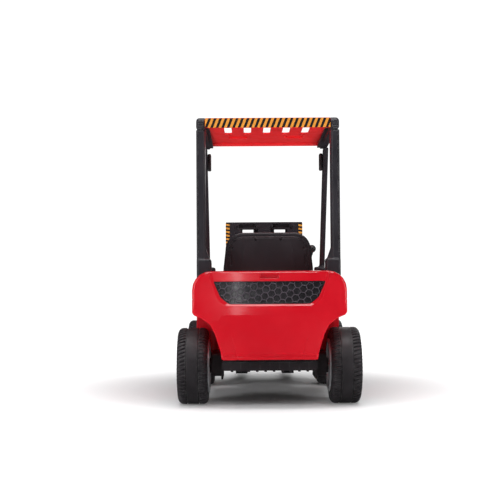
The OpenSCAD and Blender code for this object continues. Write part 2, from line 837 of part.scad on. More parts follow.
module mast_crossbeams() {
    x = rail_in - gap;
    color(black) {
        // top beam with its two recesses and the screw's top bearing
        difference() {
            span([-x, rail_y, mast_h - 28], [x, rail_y + 44, mast_h]);
            pair() span([34, rail_y - 1, mast_h - 22], [100, rail_y + 12, mast_h - 7]);
            translate([0, screw_y, mast_h - 40]) cylinder(30, r = screw_r + 0.08);
        }
        // back plate with windows beside the screw
        difference() {
            span([-x, rail_y, 300], [x, rail_y + 6, mast_h - 28.3]);
            for (z = [330, 470]) pair()
                span([24, rail_y - 1, z], [94, rail_y + 7, z + (z > 400 ? 130 : 110)]);
        }
        // bottom beam that the lift motor bolts to
        difference() {
            span([-x, rail_y, 48], [x, rail_y + 44, 86]);
            translate([0, screw_y, 78]) cylinder(10, r = screw_r + 0.08);
            span([-30, rail_y - 1, 44], [30, rail_y + 38, 80]);
        }
    }
}

module mast_stripes() {
    t = 0.6;
    color([0.95, 0.65, 0.15]) pair() difference() {
        span([rail_out - 15, rail_y - t - 0.1, 60], [rail_out + t + 0.1, rail_y + 48, mast_h - 4]);
        span([rail_out - 20, rail_y - 0.1, 50], [rail_out + 0.1, rail_y + 60, mast_h]);
    }
}

// Geared motor that turns the lift screw.
module lift_motor() {
    color(steel) {
        span([-28, rail_y + 2, 49], [28, rail_y + 37, 79.5]);
        rod_y(200, rail_y + 2.1, 0, 64, 14.5);
    }
}

module lift_screw() {
    color(steel) translate([0, screw_y, 79.9]) {
        cylinder(mast_h - 12 - 79.9, r = screw_r);
        translate([0, 0, 6.4]) cylinder(5, r = screw_r + 4);
    }
}

carriage_y = rail_y + rail_d + 3;

// Plate with four guide blocks in the rails and the nut that the screw drives.
module carriage_plate() {
    color(black) {
        difference() {
            span([-148, carriage_y, 56], [148, carriage_y + 14, 200]);
            pair() span([24, carriage_y - 1, 84], [100, carriage_y + 15, 172]);
        }
        pair() for (z = [92, 164]) {
            span([rail_in - 14, rail_y + 7, z], [rail_in - 1.5, carriage_y + 0.1, z + 30]);
            span([rail_in - 1.6, rail_y + 7, z], [rail_out - 7, rail_y + rail_d - 7, z + 30]);
        }
        difference() {
            span([-20, screw_y - 17, 100], [20, carriage_y + 0.1, 126]);
            translate([0, screw_y, 90]) cylinder(50, r = screw_r + 0.08);
        }
    }
}

// Frame above the carriage that keeps a load off the mast.
module load_backrest() {
    y = carriage_y + 1;
    color(black) difference() {
        span([-150, y, 200.3], [150, y + 10, 622]);
        for (z = [216, 350, 484]) {
            span([-20, y - 1, z], [20, y + 11, z + 122]);
            pair() span([42, y - 1, z], [86, y + 11, z + 122]);
            pair() span([108, y - 1, z], [135, y + 11, z + 122]);
        }
    }
}

module fork(side) {
    x0 = fork_x - fork_w / 2;
    y = carriage_y + 14.3;
    color(black) on_side(side) along_x(x0, x0 + fork_w) polygon([
        [y, 20], [y + 110, 20], [fork_tip_y - 20, 29], [fork_tip_y, 33], [fork_tip_y, 36],
        [fork_tip_y - 4, 38], [y + 28, 38], [y + 20, 42], [y + 18, 52], [y + 18, 190],
        [y + 12, 196], [y, 196]
    ]);
}

// ---------------------------------------------------------------- fasteners

module screw_head(r) {
    difference() {
        cylinder(r * 0.6, r1 = r, r2 = r * 0.75);
        translate([0, 0, r * 0.3]) cylinder(r, r = r * 0.4, $fn = 6);
    }
}

// Screws of the seat's cover, and the heads of those in the guard's feet and top rails.
module body_screws() {
    color(steel) pair() {
        for (p = cover_screws) {
            y = -453.6 + (560 - p[1]) * 17.6 / 228.5;
            translate([p[0], y - 0.4, p[1]]) rotate([90, 0, 0]) screw_head(4.4);
            rod_y(y - 0.5, y + 6.6, p[0], p[1], screw_hole - 0.02);
        }
        translate([post_out, -465, 452]) rotate([0, 90, 0]) screw_head(6);
        for (y = [-440, -130])
            translate([post_out - rail_w / 2, y, guard_h + 0.01]) screw_head(6);
    }
}

chassis_tub();
rear_shell();
rear_grille();
front_cowl();
dash_panel();
floor_mat();
seat_shell();
seat_back_cover();
guard_rear_posts();
guard_top_rails();
guard_front_pillars();
roof_panel();
roof_stripe();
work_lights();
headlights();
battery();
control_board();
rear_axle();
gearbox(-1);  // gearbox_left
gearbox(1);  // gearbox_right
drive_motors();
front_axle_beam();
mast_rails();
mast_crossbeams();
mast_stripes();
lift_motor();
lever_console();
column_bush();
body_screws();
steering_wheel();
steering_column();
horn_pad();
horn_button();
knuckle(-1);  // knuckle_left
knuckle(1);  // knuckle_right
tie_rod();
tyre(-1, front_y);  // front_tyre_left
tyre(1, front_y);  // front_tyre_right
tyre(-1, rear_y);  // rear_tyre_left
tyre(1, rear_y);  // rear_tyre_right
rim(-1, front_y, false);  // front_rim_left
rim(1, front_y, false);  // front_rim_right
rim(-1, rear_y, true);  // rear_rim_left
rim(1, rear_y, true);  // rear_rim_right
rear_axle_nuts();
axle_nut(-1, front_y);  // front_nut_left
axle_nut(1, front_y);  // front_nut_right
drive_gear(-1);  // drive_gear_left
drive_gear(1);  // drive_gear_right
drive_pinion(-1);  // drive_pinion_left
drive_pinion(1);  // drive_pinion_right
carriage_plate();
load_backrest();
fork(-1);  // fork_left
fork(1);  // fork_right
lift_screw();
lift_lever();
pedal();
power_button();
direction_rocker();
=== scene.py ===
"""Looks of a child's ride-on forklift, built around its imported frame.

Shells and other moulded pieces are written as distance fields in millimetres, negative inside, and
turned into meshes with true round edges. Everything else is in metres.
"""

import functools
import json
import math

import bmesh
import bpy
import numpy as np
from mathutils import Matrix, Vector


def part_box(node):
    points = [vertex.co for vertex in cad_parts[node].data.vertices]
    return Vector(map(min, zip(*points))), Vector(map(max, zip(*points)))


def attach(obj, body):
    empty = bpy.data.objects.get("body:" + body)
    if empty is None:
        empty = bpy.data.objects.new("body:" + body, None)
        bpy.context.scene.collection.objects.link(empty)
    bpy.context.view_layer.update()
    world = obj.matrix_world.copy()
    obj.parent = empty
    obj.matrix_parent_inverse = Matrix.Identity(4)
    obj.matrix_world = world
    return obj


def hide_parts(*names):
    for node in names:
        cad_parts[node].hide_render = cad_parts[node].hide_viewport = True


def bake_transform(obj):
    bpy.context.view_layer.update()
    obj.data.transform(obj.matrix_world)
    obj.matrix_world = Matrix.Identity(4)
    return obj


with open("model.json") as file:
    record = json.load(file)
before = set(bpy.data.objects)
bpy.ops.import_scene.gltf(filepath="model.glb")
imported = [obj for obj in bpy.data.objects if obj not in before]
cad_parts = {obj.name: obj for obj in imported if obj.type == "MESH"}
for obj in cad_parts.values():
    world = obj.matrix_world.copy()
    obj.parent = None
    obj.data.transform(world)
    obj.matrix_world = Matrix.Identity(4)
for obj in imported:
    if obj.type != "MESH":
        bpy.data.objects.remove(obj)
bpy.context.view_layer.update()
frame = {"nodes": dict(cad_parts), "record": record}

MM = 0.001
NODES = frame["nodes"]
RECORD = frame["record"]
BODY_OF = {n: b for b, names in RECORD["behaviour"]["bodies"].items() for n in names}
SLOT_OF = {p["node"]: p["material_slot"] for p in RECORD["subparts"]}


def span(node):
    """Lowest and highest corner of a node, in millimetres."""
    low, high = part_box(node)
    return np.array(low) / MM, np.array(high) / MM


# ---- sizes taken from the frame

shell_low, shell_high = span("rear_shell")
HALF_W, HOOD_Z, TAIL_Y = shell_high[0], shell_high[2], shell_low[1]
SEAT_Z = span("seat_shell")[0][2] - 0.5
tyre_low, tyre_high = span("rear_tyre_right")
WHEEL_R = (tyre_high[2] - tyre_low[2]) / 2
WHEEL_X = (tyre_low[0] + tyre_high[0]) / 2
TYRE_W = tyre_high[0] - tyre_low[0]
REAR_Y = (tyre_low[1] + tyre_high[1]) / 2
FRONT_Y = (span("front_tyre_right")[0][1] + span("front_tyre_right")[1][1]) / 2
POST_OUT = span("guard_rear_posts")[1][0]
GUARD_H = span("guard_top_rails")[1][2]
ROOF_HALF = span("roof_panel")[1][0]
PILLAR_IN = POST_OUT - 18.0
FOOT_IN = POST_OUT - 38.0
PLINTH_HALF = 149.5                       # half the width of the seat's plinth
SHELL_WALL = 4.5
ARCH_R = 146.0                            # wheel arch, round the axle
COLUMN_TILT = math.radians(30)            # of the steering column, back from upright
COLUMN_COS, COLUMN_SIN = math.cos(COLUMN_TILT), 0.5
COLUMN_Y, COLUMN_Z = FRONT_Y - 60 + 48 * COLUMN_COS, 161 + 24.0
DASH_S = 300.0                            # dashboard's face, along the column
WHEEL_S = 352.0                           # steering wheel's middle, along the column
HEADLIGHT_X, HEADLIGHT_Y, HEADLIGHT_Z = 196, 238, 318
LEVER_FOOT = (125, -122, 300)             # pivot of the lift lever
LEVER_LEAN = math.radians(10.5)
SIDES = (("left", -1), ("right", 1))


# ---- outlines and fields

def outline(corners, steps=5):
    """Points of a closed outline through corners (u, v, r), each rounded to its radius r."""
    points = []
    for i, (u, v, r) in enumerate(corners):
        here = np.array((u, v), float)
        back = np.array(corners[i - 1][:2], float) - here
        on = np.array(corners[(i + 1) % len(corners)][:2], float) - here
        long_back, long_on = np.linalg.norm(back), np.linalg.norm(on)
        back, on = back / long_back, on / long_on
        angle = math.acos(float(np.clip(back @ on, -1, 1)))
        if r <= 0 or angle > math.pi - 0.01:
            points.append(here)
            continue
        reach = min(r / math.tan(angle / 2), 0.48 * long_back, 0.48 * long_on)
        radius = reach * math.tan(angle / 2)
        middle = here + (back + on) / np.linalg.norm(back + on) * radius / math.sin(angle / 2)
        start, end = here + back * reach - middle, here + on * reach - middle
        turn = math.atan2(start[0] * end[1] - start[1] * end[0], start @ end)
        for k in range(steps + 1):
            c, s = math.cos(turn * k / steps), math.sin(turn * k / steps)
            points.append(middle + (start[0] * c - start[1] * s, start[0] * s + start[1] * c))
    return np.array(points)


def arc(u, v, r, start, end, steps=7):
    """Points on an arc, as corners for an outline."""
    turn = [math.radians(start + (end - start) * k / steps) for k in range(steps + 1)]
    return [(u + r * math.cos(t), v + r * math.sin(t), 0) for t in turn]


def inside(u, v, points):
    """Distance to a closed outline, negative inside."""
    near = odd = None
    for (u0, v0), (u1, v1) in zip(points, np.roll(points, -1, 0)):
        du, dv = u1 - u0, v1 - v0
        t = np.clip(((u - u0) * du + (v - v0) * dv) / (du * du + dv * dv + 1e-9), 0, 1)
        d = (u - u0 - t * du) ** 2 + (v - v0 - t * dv) ** 2
        near = d if near is None else np.minimum(near, d)
        if dv != 0:
            crossed = ((v >= v0) != (v >= v1)) & (u < u0 + (v - v0) * du / dv)
            odd = crossed if odd is None else odd ^ crossed
    return np.where(odd, -1.0, 1.0) * np.sqrt(near)


def both(a, b, r=1.0):
    """Where a and b overlap, with the edge rounded to radius r."""
    corner = np.hypot(np.maximum(a + r, 0), np.maximum(b + r, 0))
    return np.minimum(-r, np.maximum(a, b)) + corner


def either(a, b, r=1.0):
    """a and b together, with a fillet of radius r between them."""
    corner = np.hypot(np.maximum(r - a, 0), np.maximum(r - b, 0))
    return np.maximum(r, np.minimum(a, b)) - corner


def less(a, b, r=1.0):
    """a without b, with the new edge rounded to radius r."""
    return both(a, -b, r)


def common(*parts):
    """Where all the fields overlap, with sharp edges."""
    return functools.reduce(np.maximum, parts)


def lines(value, pitch):
    """Distance to the nearest of many lines, which stand a pitch apart."""
    return abs(np.mod(value, pitch) - pitch / 2)


def engrave(solid, mark, depth, r=0.4):
    """Cuts a mark into a solid's surface, to a depth."""
    return less(solid, np.maximum(mark, -depth - solid), r)


def block(x, y, z, low, high, r=0.0):
    """Box between two corners, with edges rounded to radius r."""
    q = [abs(c - (a + b) / 2) - (b - a) / 2 + r for c, a, b in zip((x, y, z), low, high)]
    out = np.sqrt(sum(np.maximum(k, 0) ** 2 for k in q))
    return out + np.minimum(common(*q), 0) - r


def rect(u, v, low, high, r=0.0):
    """Rectangle between two corners, with corners rounded to radius r."""
    q = [abs(c - (a + b) / 2) - (b - a) / 2 + r for c, a, b in zip((u, v), low, high)]
    out = np.sqrt(sum(np.maximum(k, 0) ** 2 for k in q))
    return out + np.minimum(np.maximum(q[0], q[1]), 0) - r


def rod(u, v, w, centre, radius, low, high, r=0.0):
    """Cylinder along w."""
    side = np.hypot(u - centre[0], v - centre[1]) - radius
    return both(side, abs(w - (low + high) / 2) - (high - low) / 2, r)


def ramp(value, low, high):
    """Smooth step from 0 at low to 1 at high."""
    t = np.clip((value - low) / (high - low), 0, 1)
    return t * t * (3 - 2 * t)


def column_frame(y, z):
    """Places across and along the steering column."""
    dy, dz = y - COLUMN_Y, z - COLUMN_Z
    return dy * COLUMN_COS + dz * COLUMN_SIN, dz * COLUMN_COS - dy * COLUMN_SIN


def column_point(v, s):
    """Back from places across and along the column to y and z."""
    return COLUMN_Y + v * COLUMN_COS - s * COLUMN_SIN, COLUMN_Z + v * COLUMN_SIN + s * COLUMN_COS


# ---- from field to mesh

CORNERS = [(i, j, k) for i in (0, 1) for j in (0, 1) for k in (0, 1)]


def ticks(low, high, cell, fine=(), first=None):
    """Grid lines from low to high, a cell apart, and closer together in the fine stretches."""
    lines = [low - 1.5 * cell if first is None else first]
    while lines[-1] < high + 1.5 * cell:
        here = lines[-1]
        step = cell
        for a, b, small in fine:
            if a - cell < here < b:
                step = min(step, small)
        lines.append(here + step)
    return np.array(lines)


def slope(field, p, h=0.02):
    """Field and its gradient at points p."""
    base = field(*p.T)
    grad = np.stack([(field(*(p + h * e).T) - base) / h for e in np.eye(3)], 1)
    return base, grad


def added(name, data):
    """A new object in the scene."""
    made = bpy.data.objects.new(name, data)
    bpy.context.scene.collection.objects.link(made)
    return made


def shade_smooth(mesh, sharp=None):
    """Shades a mesh smoothly, apart from edges sharper than an angle in degrees."""
    mesh.polygons.foreach_set("use_smooth", [True] * len(mesh.polygons))
    if sharp:
        mesh.set_sharp_from_angle(angle=math.radians(sharp))


def places_of(mesh):
    """Places of a mesh's vertices, in metres."""
    co = np.empty(len(mesh.vertices) * 3)
    mesh.vertices.foreach_get("co", co)
    return co.reshape(-1, 3)


def mesh_from(bm, name):
    """A mesh with what a bmesh holds, which is then let go."""
    mesh = bpy.data.meshes.new(name)
    bm.to_mesh(mesh)
    bm.free()
    return mesh


def thinned(mesh, keep):
    """The mesh with only a share of its faces, the flat parts being the first to lose theirs."""
    made = added("thinned", mesh)
    thin = made.modifiers.new("thin", "DECIMATE")
    thin.ratio = keep
    seen = made.evaluated_get(bpy.context.evaluated_depsgraph_get())
    result = bpy.data.meshes.new_from_object(seen)
    result.name = mesh.name
    bpy.data.objects.remove(made)
    return result


def field_mesh(name, field, low, high, cell, mirror=True, fine=((), (), ()), keep=0.3):
    """Mesh of a field's surface, in metres. A mirrored one is worked out for x above 0 only.

    fine holds, for each axis, the stretches (low, high, cell) that need closer grid lines, and keep
    is the share of the faces that stay.
    """
    if mirror:
        low = (0, low[1], low[2])
        axes = [ticks(low[0], high[0], cell, fine[0], first=-cell / 2)]
    else:
        axes = [ticks(low[0], high[0], cell, fine[0])]
    axes += [ticks(low[i], high[i], cell, fine[i]) for i in (1, 2)]
    x, y, z = np.meshgrid(*axes, indexing="ij", sparse=True)
    shape = tuple(len(a) for a in axes)
    f = np.broadcast_to(field(x, y, z), shape).astype(np.float32)
    filled = f < 0
    count = sum(
        filled[i:shape[0] - 1 + i, j:shape[1] - 1 + j, k:shape[2] - 1 + k].astype(np.int8)
        for i, j, k in CORNERS
    )
    cells = np.argwhere((count > 0) & (count < 8))
    number = -np.ones(count.shape, np.int64)
    number[tuple(cells.T)] = np.arange(len(cells))
    place = [np.stack([axes[d][cells[:, d] + c[d]] for d in range(3)], 1) for c in CORNERS]
    value = [f[tuple((cells + c).T)] for c in CORNERS]
    total, hits = np.zeros((len(cells), 3)), np.zeros(len(cells))
    for a, ca in enumerate(CORNERS):
        for b, cb in enumerate(CORNERS):
            if b <= a or sum(abs(i - j) for i, j in zip(ca, cb)) != 1:
                continue
            cross = (value[a] < 0) != (value[b] < 0)
            t = np.where(cross, value[a] / np.where(cross, value[a] - value[b], 1), 0)[:, None]
            total += np.where(cross[:, None], place[a] + t * (place[b] - place[a]), 0)
            hits += cross
    p = total / hits[:, None]
    seam = cells[:, 0] == 0 if mirror else np.zeros(len(p), bool)
    base, grad = slope(field, p)
    grad /= np.maximum((grad ** 2).sum(1), 0.05)[:, None]
    for _ in range(3):
        move = base[:, None] * grad
        length = np.linalg.norm(move, axis=1)
        p = p - move * np.minimum(1, 0.5 * cell / np.maximum(length, 1e-9))[:, None]
        p[seam, 0] = 0
        base = field(*p.T)
    quads = []
    for d in range(3):
        e1, e2 = [k for k in range(3) if k != d]
        upper = [slice(None)] * 3
        lower = [slice(None)] * 3
        upper[d], lower[d] = slice(1, None), slice(None, -1)
        change = filled[tuple(lower)] != filled[tuple(upper)]
        at = np.argwhere(change)
        at = at[(at[:, e1] > 0) & (at[:, e2] > 0)]
        at = at[(at[:, e1] < shape[e1] - 1) & (at[:, e2] < shape[e2] - 1)]
        o1, o2 = np.eye(3, dtype=int)[e1], np.eye(3, dtype=int)[e2]
        ring = np.stack([number[tuple((at - s).T)] for s in (0 * o1, o1, o1 + o2, o2)], 1)
        outward = filled[tuple(at.T)] ^ (d == 1)
        ring[~outward] = ring[~outward][:, ::-1]
        quads.append(ring[(ring >= 0).all(1)])
    quads = np.concatenate(quads)
    if mirror:
        other = np.where(seam, np.arange(len(p)), np.arange(len(p)) + len(p))
        p = np.concatenate([p, p * (-1, 1, 1)])
        quads = np.concatenate([quads, other[quads][:, ::-1]])
        used = np.unique(quads)
        renumber = -np.ones(len(p), np.int64)
        renumber[used] = np.arange(len(used))
        p, quads = p[used], renumber[quads]
    mesh = bpy.data.meshes.new(name)
    mesh.from_pydata((p * MM).tolist(), [], quads.tolist())
    if keep < 1:
        mesh = thinned(mesh, keep)
    shade_smooth(mesh)
    grad = slope(field, places_of(mesh) / MM, 0.05)[1]
    grad /= np.maximum(np.linalg.norm(grad, axis=1), 1e-6)[:, None]
    mesh.normals_split_custom_set_from_vertices(grad.tolist())
    return mesh


def lathe_mesh(name, profile, steps=64):
    """Mesh of a profile [(radius, height)] in millimetres turned round Z, closed at both ends."""
    bm = bmesh.new()
    rings = []
    for r, h in profile:
        turn = [2 * math.pi * k / steps for k in range(steps if r > 1e-6 else 1)]
        rings.append([bm.verts.new(Vector((r * math.cos(a), r * math.sin(a), h)) * MM) for a in turn])
    for low, high in zip(rings, rings[1:]):
        for k in range(steps):
            quad = [low[k % len(low)], low[(k + 1) % len(low)],
                    high[(k + 1) % len(high)], high[k % len(high)]]
            face = list(dict.fromkeys(quad))
            if len(face) > 2:
                bm.faces.new(face)
    for ring in (rings[0], rings[-1]):
        if len(ring) > 2:
            bm.faces.new(ring)
    bmesh.ops.recalc_face_normals(bm, faces=bm.faces)
    return mesh_from(bm, name)


# ---- materials

class Nodes:
    """Short way to write a material's nodes."""

    def __init__(self, name):
        self.material = bpy.data.materials.new(name)
        self.material.use_nodes = True
        self.tree = self.material.node_tree
        self.bsdf = self.tree.nodes["Principled BSDF"]
        self.where = self.add("TexCoord").outputs["Object"]

    def add(self, kind, **settings):
        node = self.tree.nodes.new("ShaderNode" + kind)
        for key, value in settings.items():
            setattr(node, key, value)
        return node

    def put(self, socket, value):
        if isinstance(value, bpy.types.NodeSocket):
            self.tree.links.new(value, socket)
        else:
            socket.default_value = value

    def noise(self, scale, detail=4.0, rough=0.55, stretch=None):
        where = self.where
        if stretch:
            scaled = self.add("VectorMath", operation="MULTIPLY")
            self.put(scaled.inputs[0], where)
            scaled.inputs[1].default_value = stretch
            where = scaled.outputs[0]
        node = self.add("TexNoise")
        self.put(node.inputs["Vector"], where)
        node.inputs["Scale"].default_value = scale
        node.inputs["Detail"].default_value = detail
        node.inputs["Roughness"].default_value = rough
        return node.outputs["Fac"]

    def spread(self, value, low, high, to_low=0.0, to_high=1.0):
        node = self.add("MapRange", interpolation_type="SMOOTHSTEP")
        for key, number in (("From Min", low), ("From Max", high),
                            ("To Min", to_low), ("To Max", to_high)):
            node.inputs[key].default_value = number
        self.put(node.inputs["Value"], value)
        return node.outputs["Result"]

    def mix(self, factor, a, b):
        node = self.add("Mix", data_type="RGBA")
        self.put(node.inputs["Factor"], factor)
        for socket, value in ((node.inputs["A"], a), (node.inputs["B"], b)):
            self.put(socket, value if isinstance(value, bpy.types.NodeSocket) else (*value, 1.0))
        return node.outputs["Result"]

    def math(self, operation, a, b=0.0):
        node = self.add("Math", operation=operation)
        self.put(node.inputs[0], a)
        self.put(node.inputs[1], b)
        return node.outputs[0]

    def edges(self, reach):
        """Near 1 on the edges that hands and floors rub, broken up by noise; the finish lightens these
        edges both as wear and as a painted highlight.
        """
        bevel = self.add("Bevel", samples=4)
        bevel.inputs["Radius"].default_value = reach
        face = self.add("NewGeometry")
        dot = self.add("VectorMath", operation="DOT_PRODUCT")
        self.put(dot.inputs[0], bevel.outputs["Normal"])
        self.put(dot.inputs[1], face.outputs["Normal"])
        rim = self.spread(dot.outputs["Value"], 0.999, 0.93)
        return self.math("MULTIPLY", rim, self.spread(self.noise(60.0, 6.0), 0.38, 0.62))

    def bump(self, layers):
        """Bump from (height, distance in metres) layers, one on another."""
        normal = None
        for height, distance in layers:
            node = self.add("Bump")
            node.inputs["Strength"].default_value = 1.0
            node.inputs["Distance"].default_value = distance
            self.put(node.inputs["Height"], height)
            if normal is not None:
                self.put(node.inputs["Normal"], normal)
            normal = node.outputs["Normal"]
        return normal


def finish(name, colour, rough, metallic=0.0, coat=0.0, grain=(1400.0, 0.00002), wave=None,
           mottle=0.10, scuffs=0.08, wear_and_edge_highlight=0.0, stretch=None, sheen=0.0):
    """Finish of one material: mottled colour, uneven roughness, grain, scuffs, and edges that are
    lightened partly as rubbed wear and partly as a painted highlight.
    """
    n = Nodes(name)
    dark = tuple(c * (1 - mottle) for c in colour)
    light = tuple(min(1.0, c * (1 + mottle) + 0.004) for c in colour)
    tone = n.mix(n.spread(n.noise(9.0, 5.0), 0.3, 0.7), dark, light)
    fleck = n.spread(n.noise(420.0, 2.0), 0.66, 0.80, 0.0, 0.35)
    tone = n.mix(fleck, tone, tuple(c * 0.72 for c in colour))
    uneven = n.spread(n.noise(26.0, 6.0), 0.3, 0.7, rough - scuffs * 0.6, rough + scuffs)
    scratch = n.spread(n.noise(90.0, 3.0, stretch=(1.0, 0.12, 14.0)), 0.70, 0.74, 0.0, scuffs)
    uneven = n.math("ADD", uneven, scratch)
    if wear_and_edge_highlight:
        # Edges are lightened and roughened: this is partly rubbed wear and partly a painted highlight
        # along the edges.
        rubbed_and_highlit_edge = n.math("MULTIPLY", n.edges(0.0016), wear_and_edge_highlight)
        tone = n.mix(rubbed_and_highlit_edge, tone, tuple(0.55 * c + 0.22 for c in colour))
        uneven = n.math("ADD", uneven, n.math("MULTIPLY", rubbed_and_highlit_edge, 0.18))
    n.put(n.bsdf.inputs["Base Color"], tone)
    n.put(n.bsdf.inputs["Roughness"], uneven)
    for key, amount in (("Metallic", metallic), ("Coat Weight", coat), ("Coat Roughness", 0.07),
                        ("Sheen Weight", sheen)):
        n.bsdf.inputs[key].default_value = amount
    layers = [(n.noise(grain[0], 2.0, stretch=stretch), grain[1])]
    if wave:
        layers.append((n.noise(wave[0], 2.0, 0.4), wave[1]))
    n.put(n.bsdf.inputs["Normal"], n.bump(layers))
    return n.material


def striped(name, lean, pitch, across, first, second):
    """Slanted warning stripes. lean is in degrees, and across is the axis that they repeat along."""
    n = Nodes(name)
    c, s = math.cos(math.radians(lean)), math.sin(math.radians(lean))
    direction = (c, 0.0, -s) if across == "x" else (s, 0.3, c)
    dot = n.add("VectorMath", operation="DOT_PRODUCT")
    n.put(dot.inputs[0], n.where)
    dot.inputs[1].default_value = direction
    wander = n.math("MULTIPLY", n.noise(180.0, 3.0), 0.0006)
    place = n.math("ADD", dot.outputs["Value"], wander)
    turns = n.math("FRACT", n.math("ADD", n.math("MULTIPLY", place, 1.0 / pitch), 100.0))
    wave = n.math("ABSOLUTE", n.math("SUBTRACT", turns, 0.5))
    band = n.spread(wave, 0.235, 0.265)
    worn = n.spread(n.noise(300.0, 6.0), 0.66, 0.76, 0.0, 0.5)
    paint = n.mix(band, first, second)
    n.put(n.bsdf.inputs["Base Color"], n.mix(worn, paint, tuple(0.5 * c for c in first)))
    n.put(n.bsdf.inputs["Roughness"], n.spread(n.noise(40.0, 5.0), 0.3, 0.7, 0.32, 0.46))
    n.put(n.bsdf.inputs["Normal"], n.bump([(band, 0.00004), (n.noise(1500.0), 0.00001)]))
    return n.material


MATERIALS = {
    "red_shell": finish("red_shell", (0.56, 0.0028, 0.012), 0.13, coat=0.5, grain=(2200.0, 0.000006),
                        wave=(11.0, 0.00012), mottle=0.04, scuffs=0.03, wear_and_edge_highlight=0.04),
    # Same red plastic as red_shell, but with a brighter base colour: this is painted light, standing in
    # for the light the floor bounces up onto the roof's underside.
    "red_roof_painted_bounce": finish("red_roof_painted_bounce", (0.78, 0.006, 0.010), 0.42, grain=(2200.0, 0.000006), mottle=0.04,
                       scuffs=0.06, wear_and_edge_highlight=0.10),
    "black_plastic": finish("black_plastic", (0.022, 0.020, 0.025), 0.36, grain=(1300.0, 0.00004),
                            wave=(30.0, 0.0003), wear_and_edge_highlight=0.35),
    "seat_black": finish("seat_black", (0.024, 0.019, 0.023), 0.36, grain=(800.0, 0.00006),
                         wave=(22.0, 0.0004), wear_and_edge_highlight=0.25),
    "wheel_black": finish("wheel_black", (0.022, 0.021, 0.023), 0.48, grain=(1100.0, 0.00008),
                          wear_and_edge_highlight=0.25),
    "tyre_black": finish("tyre_black", (0.021, 0.018, 0.021), 0.44, grain=(900.0, 0.00009),
                         wave=(60.0, 0.0002), mottle=0.2, scuffs=0.14, wear_and_edge_highlight=0.45),
    "rim_silver": finish("rim_silver", (0.50, 0.51, 0.53), 0.30, metallic=0.55, coat=0.2,
                         grain=(1900.0, 0.00001), mottle=0.05, scuffs=0.05, wear_and_edge_highlight=0.2),
    "mat_grey": finish("mat_grey", (0.055, 0.055, 0.06), 0.72, grain=(700.0, 0.0001), scuffs=0.12),
    "stripe": striped("stripe", 21.4, 0.01624, "x", (0.76, 0.30, 0.035), (0.008, 0.007, 0.010)),
    "stripe_bars": striped("stripe_bars", 9.0, 0.0140, "z", (0.74, 0.34, 0.05), (0.012, 0.010, 0.012)),
    "lamp": finish("lamp", (0.78, 0.80, 0.84), 0.12, coat=1.0, grain=(1500.0, 0.000008),
                   mottle=0.03, scuffs=0.04),
    "lamp_ring": finish("lamp_ring", (0.62, 0.63, 0.65), 0.14, metallic=1.0, scuffs=0.05),
    "lamp_dark": finish("lamp_dark", (0.018, 0.018, 0.02), 0.28, coat=0.4, scuffs=0.05),
    "steel": finish("steel", (0.50, 0.50, 0.49), 0.28, metallic=1.0, scuffs=0.12,
                    grain=(900.0, 0.000012), stretch=(1.0, 1.0, 0.06)),
    "battery_case": finish("battery_case", (0.040, 0.042, 0.055), 0.55, wear_and_edge_highlight=0.2),
    "board_green": finish("board_green", (0.02, 0.16, 0.06), 0.35, coat=0.5),
    "gear_white": finish("gear_white", (0.74, 0.71, 0.62), 0.38, sheen=0.1),
    "pinion_brass": finish("pinion_brass", (0.62, 0.42, 0.14), 0.26, metallic=1.0),
    "horn_red": finish("horn_red", (0.62, 0.006, 0.014), 0.22, coat=0.6, wear_and_edge_highlight=0.1),
    "button_yellow": finish("button_yellow", (0.85, 0.42, 0.03), 0.25, coat=0.5),
    "button_red": finish("button_red", (0.60, 0.01, 0.01), 0.22, coat=0.5),
    "panel_black": finish("panel_black", (0.013, 0.011, 0.014), 0.16, coat=0.8,
                          grain=(1700.0, 0.00001), scuffs=0.08),
    "panel_line": finish("panel_line", (0.075, 0.06, 0.075), 0.34, scuffs=0.06),
    "rubber": finish("rubber", (0.020, 0.019, 0.020), 0.66, grain=(700.0, 0.0001)),
    "chassis_black": finish("chassis_black", (0.014, 0.009, 0.012), 0.46,
                            grain=(1000.0, 0.00006), scuffs=0.14, wear_and_edge_highlight=0.3),
}


# ---- pieces

def piece(name, mesh, material, *nodes, body=None, slot=None, bevel=None):
    """Adds a mesh as a piece that stands for some nodes or rides on a body."""
    made = added(name, mesh)
    if not mesh.materials:
        mesh.materials.append(MATERIALS[material])
    if bevel is not None:
        shade_smooth(mesh)
        bevel_edges(made, bevel)
    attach(made, body or BODY_OF[nodes[0]])
    if nodes:
        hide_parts(*nodes)
        slot = slot or SLOT_OF[nodes[0]]
    return made


def moulded(name, field, low, high, cell, material, node, **options):
    """Adds the piece that a field describes, which stands for a node."""
    return piece(name, field_mesh(name, field, low, high, cell, **options), material, node)


def bevel_edges(made, width, segments=2, angle=32):
    """Rounds a piece's sharp edges and evens out its shading."""
    edge = made.modifiers.new("edges", "BEVEL")
    edge.width = width
    edge.segments = segments
    edge.limit_method = "ANGLE"
    edge.angle_limit = math.radians(angle)
    edge.harden_normals = False
    edge.use_clamp_overlap = True
    weighted = made.modifiers.new("shading", "WEIGHTED_NORMAL")
    weighted.keep_sharp = False


def dress(node, material=None, bevel=0.0006):
    """Finishes a node that keeps its own shape: welds it, rounds its edges and paints it."""
    made = NODES[node]
    made.data.materials.clear()
    made.data.materials.append(MATERIALS[material or SLOT_OF[node]])
    made.data.polygons.foreach_set("material_index", [0] * len(made.data.polygons))
    shade_smooth(made.data)
    weld = made.modifiers.new("weld", "WELD")
    weld.merge_threshold = 1e-5
    flat = made.modifiers.new("flat", "DECIMATE")
    flat.decimate_type = "DISSOLVE"
    flat.angle_limit = math.radians(1.0)
    bevel_edges(made, bevel)
    return made


# ---- moulded body

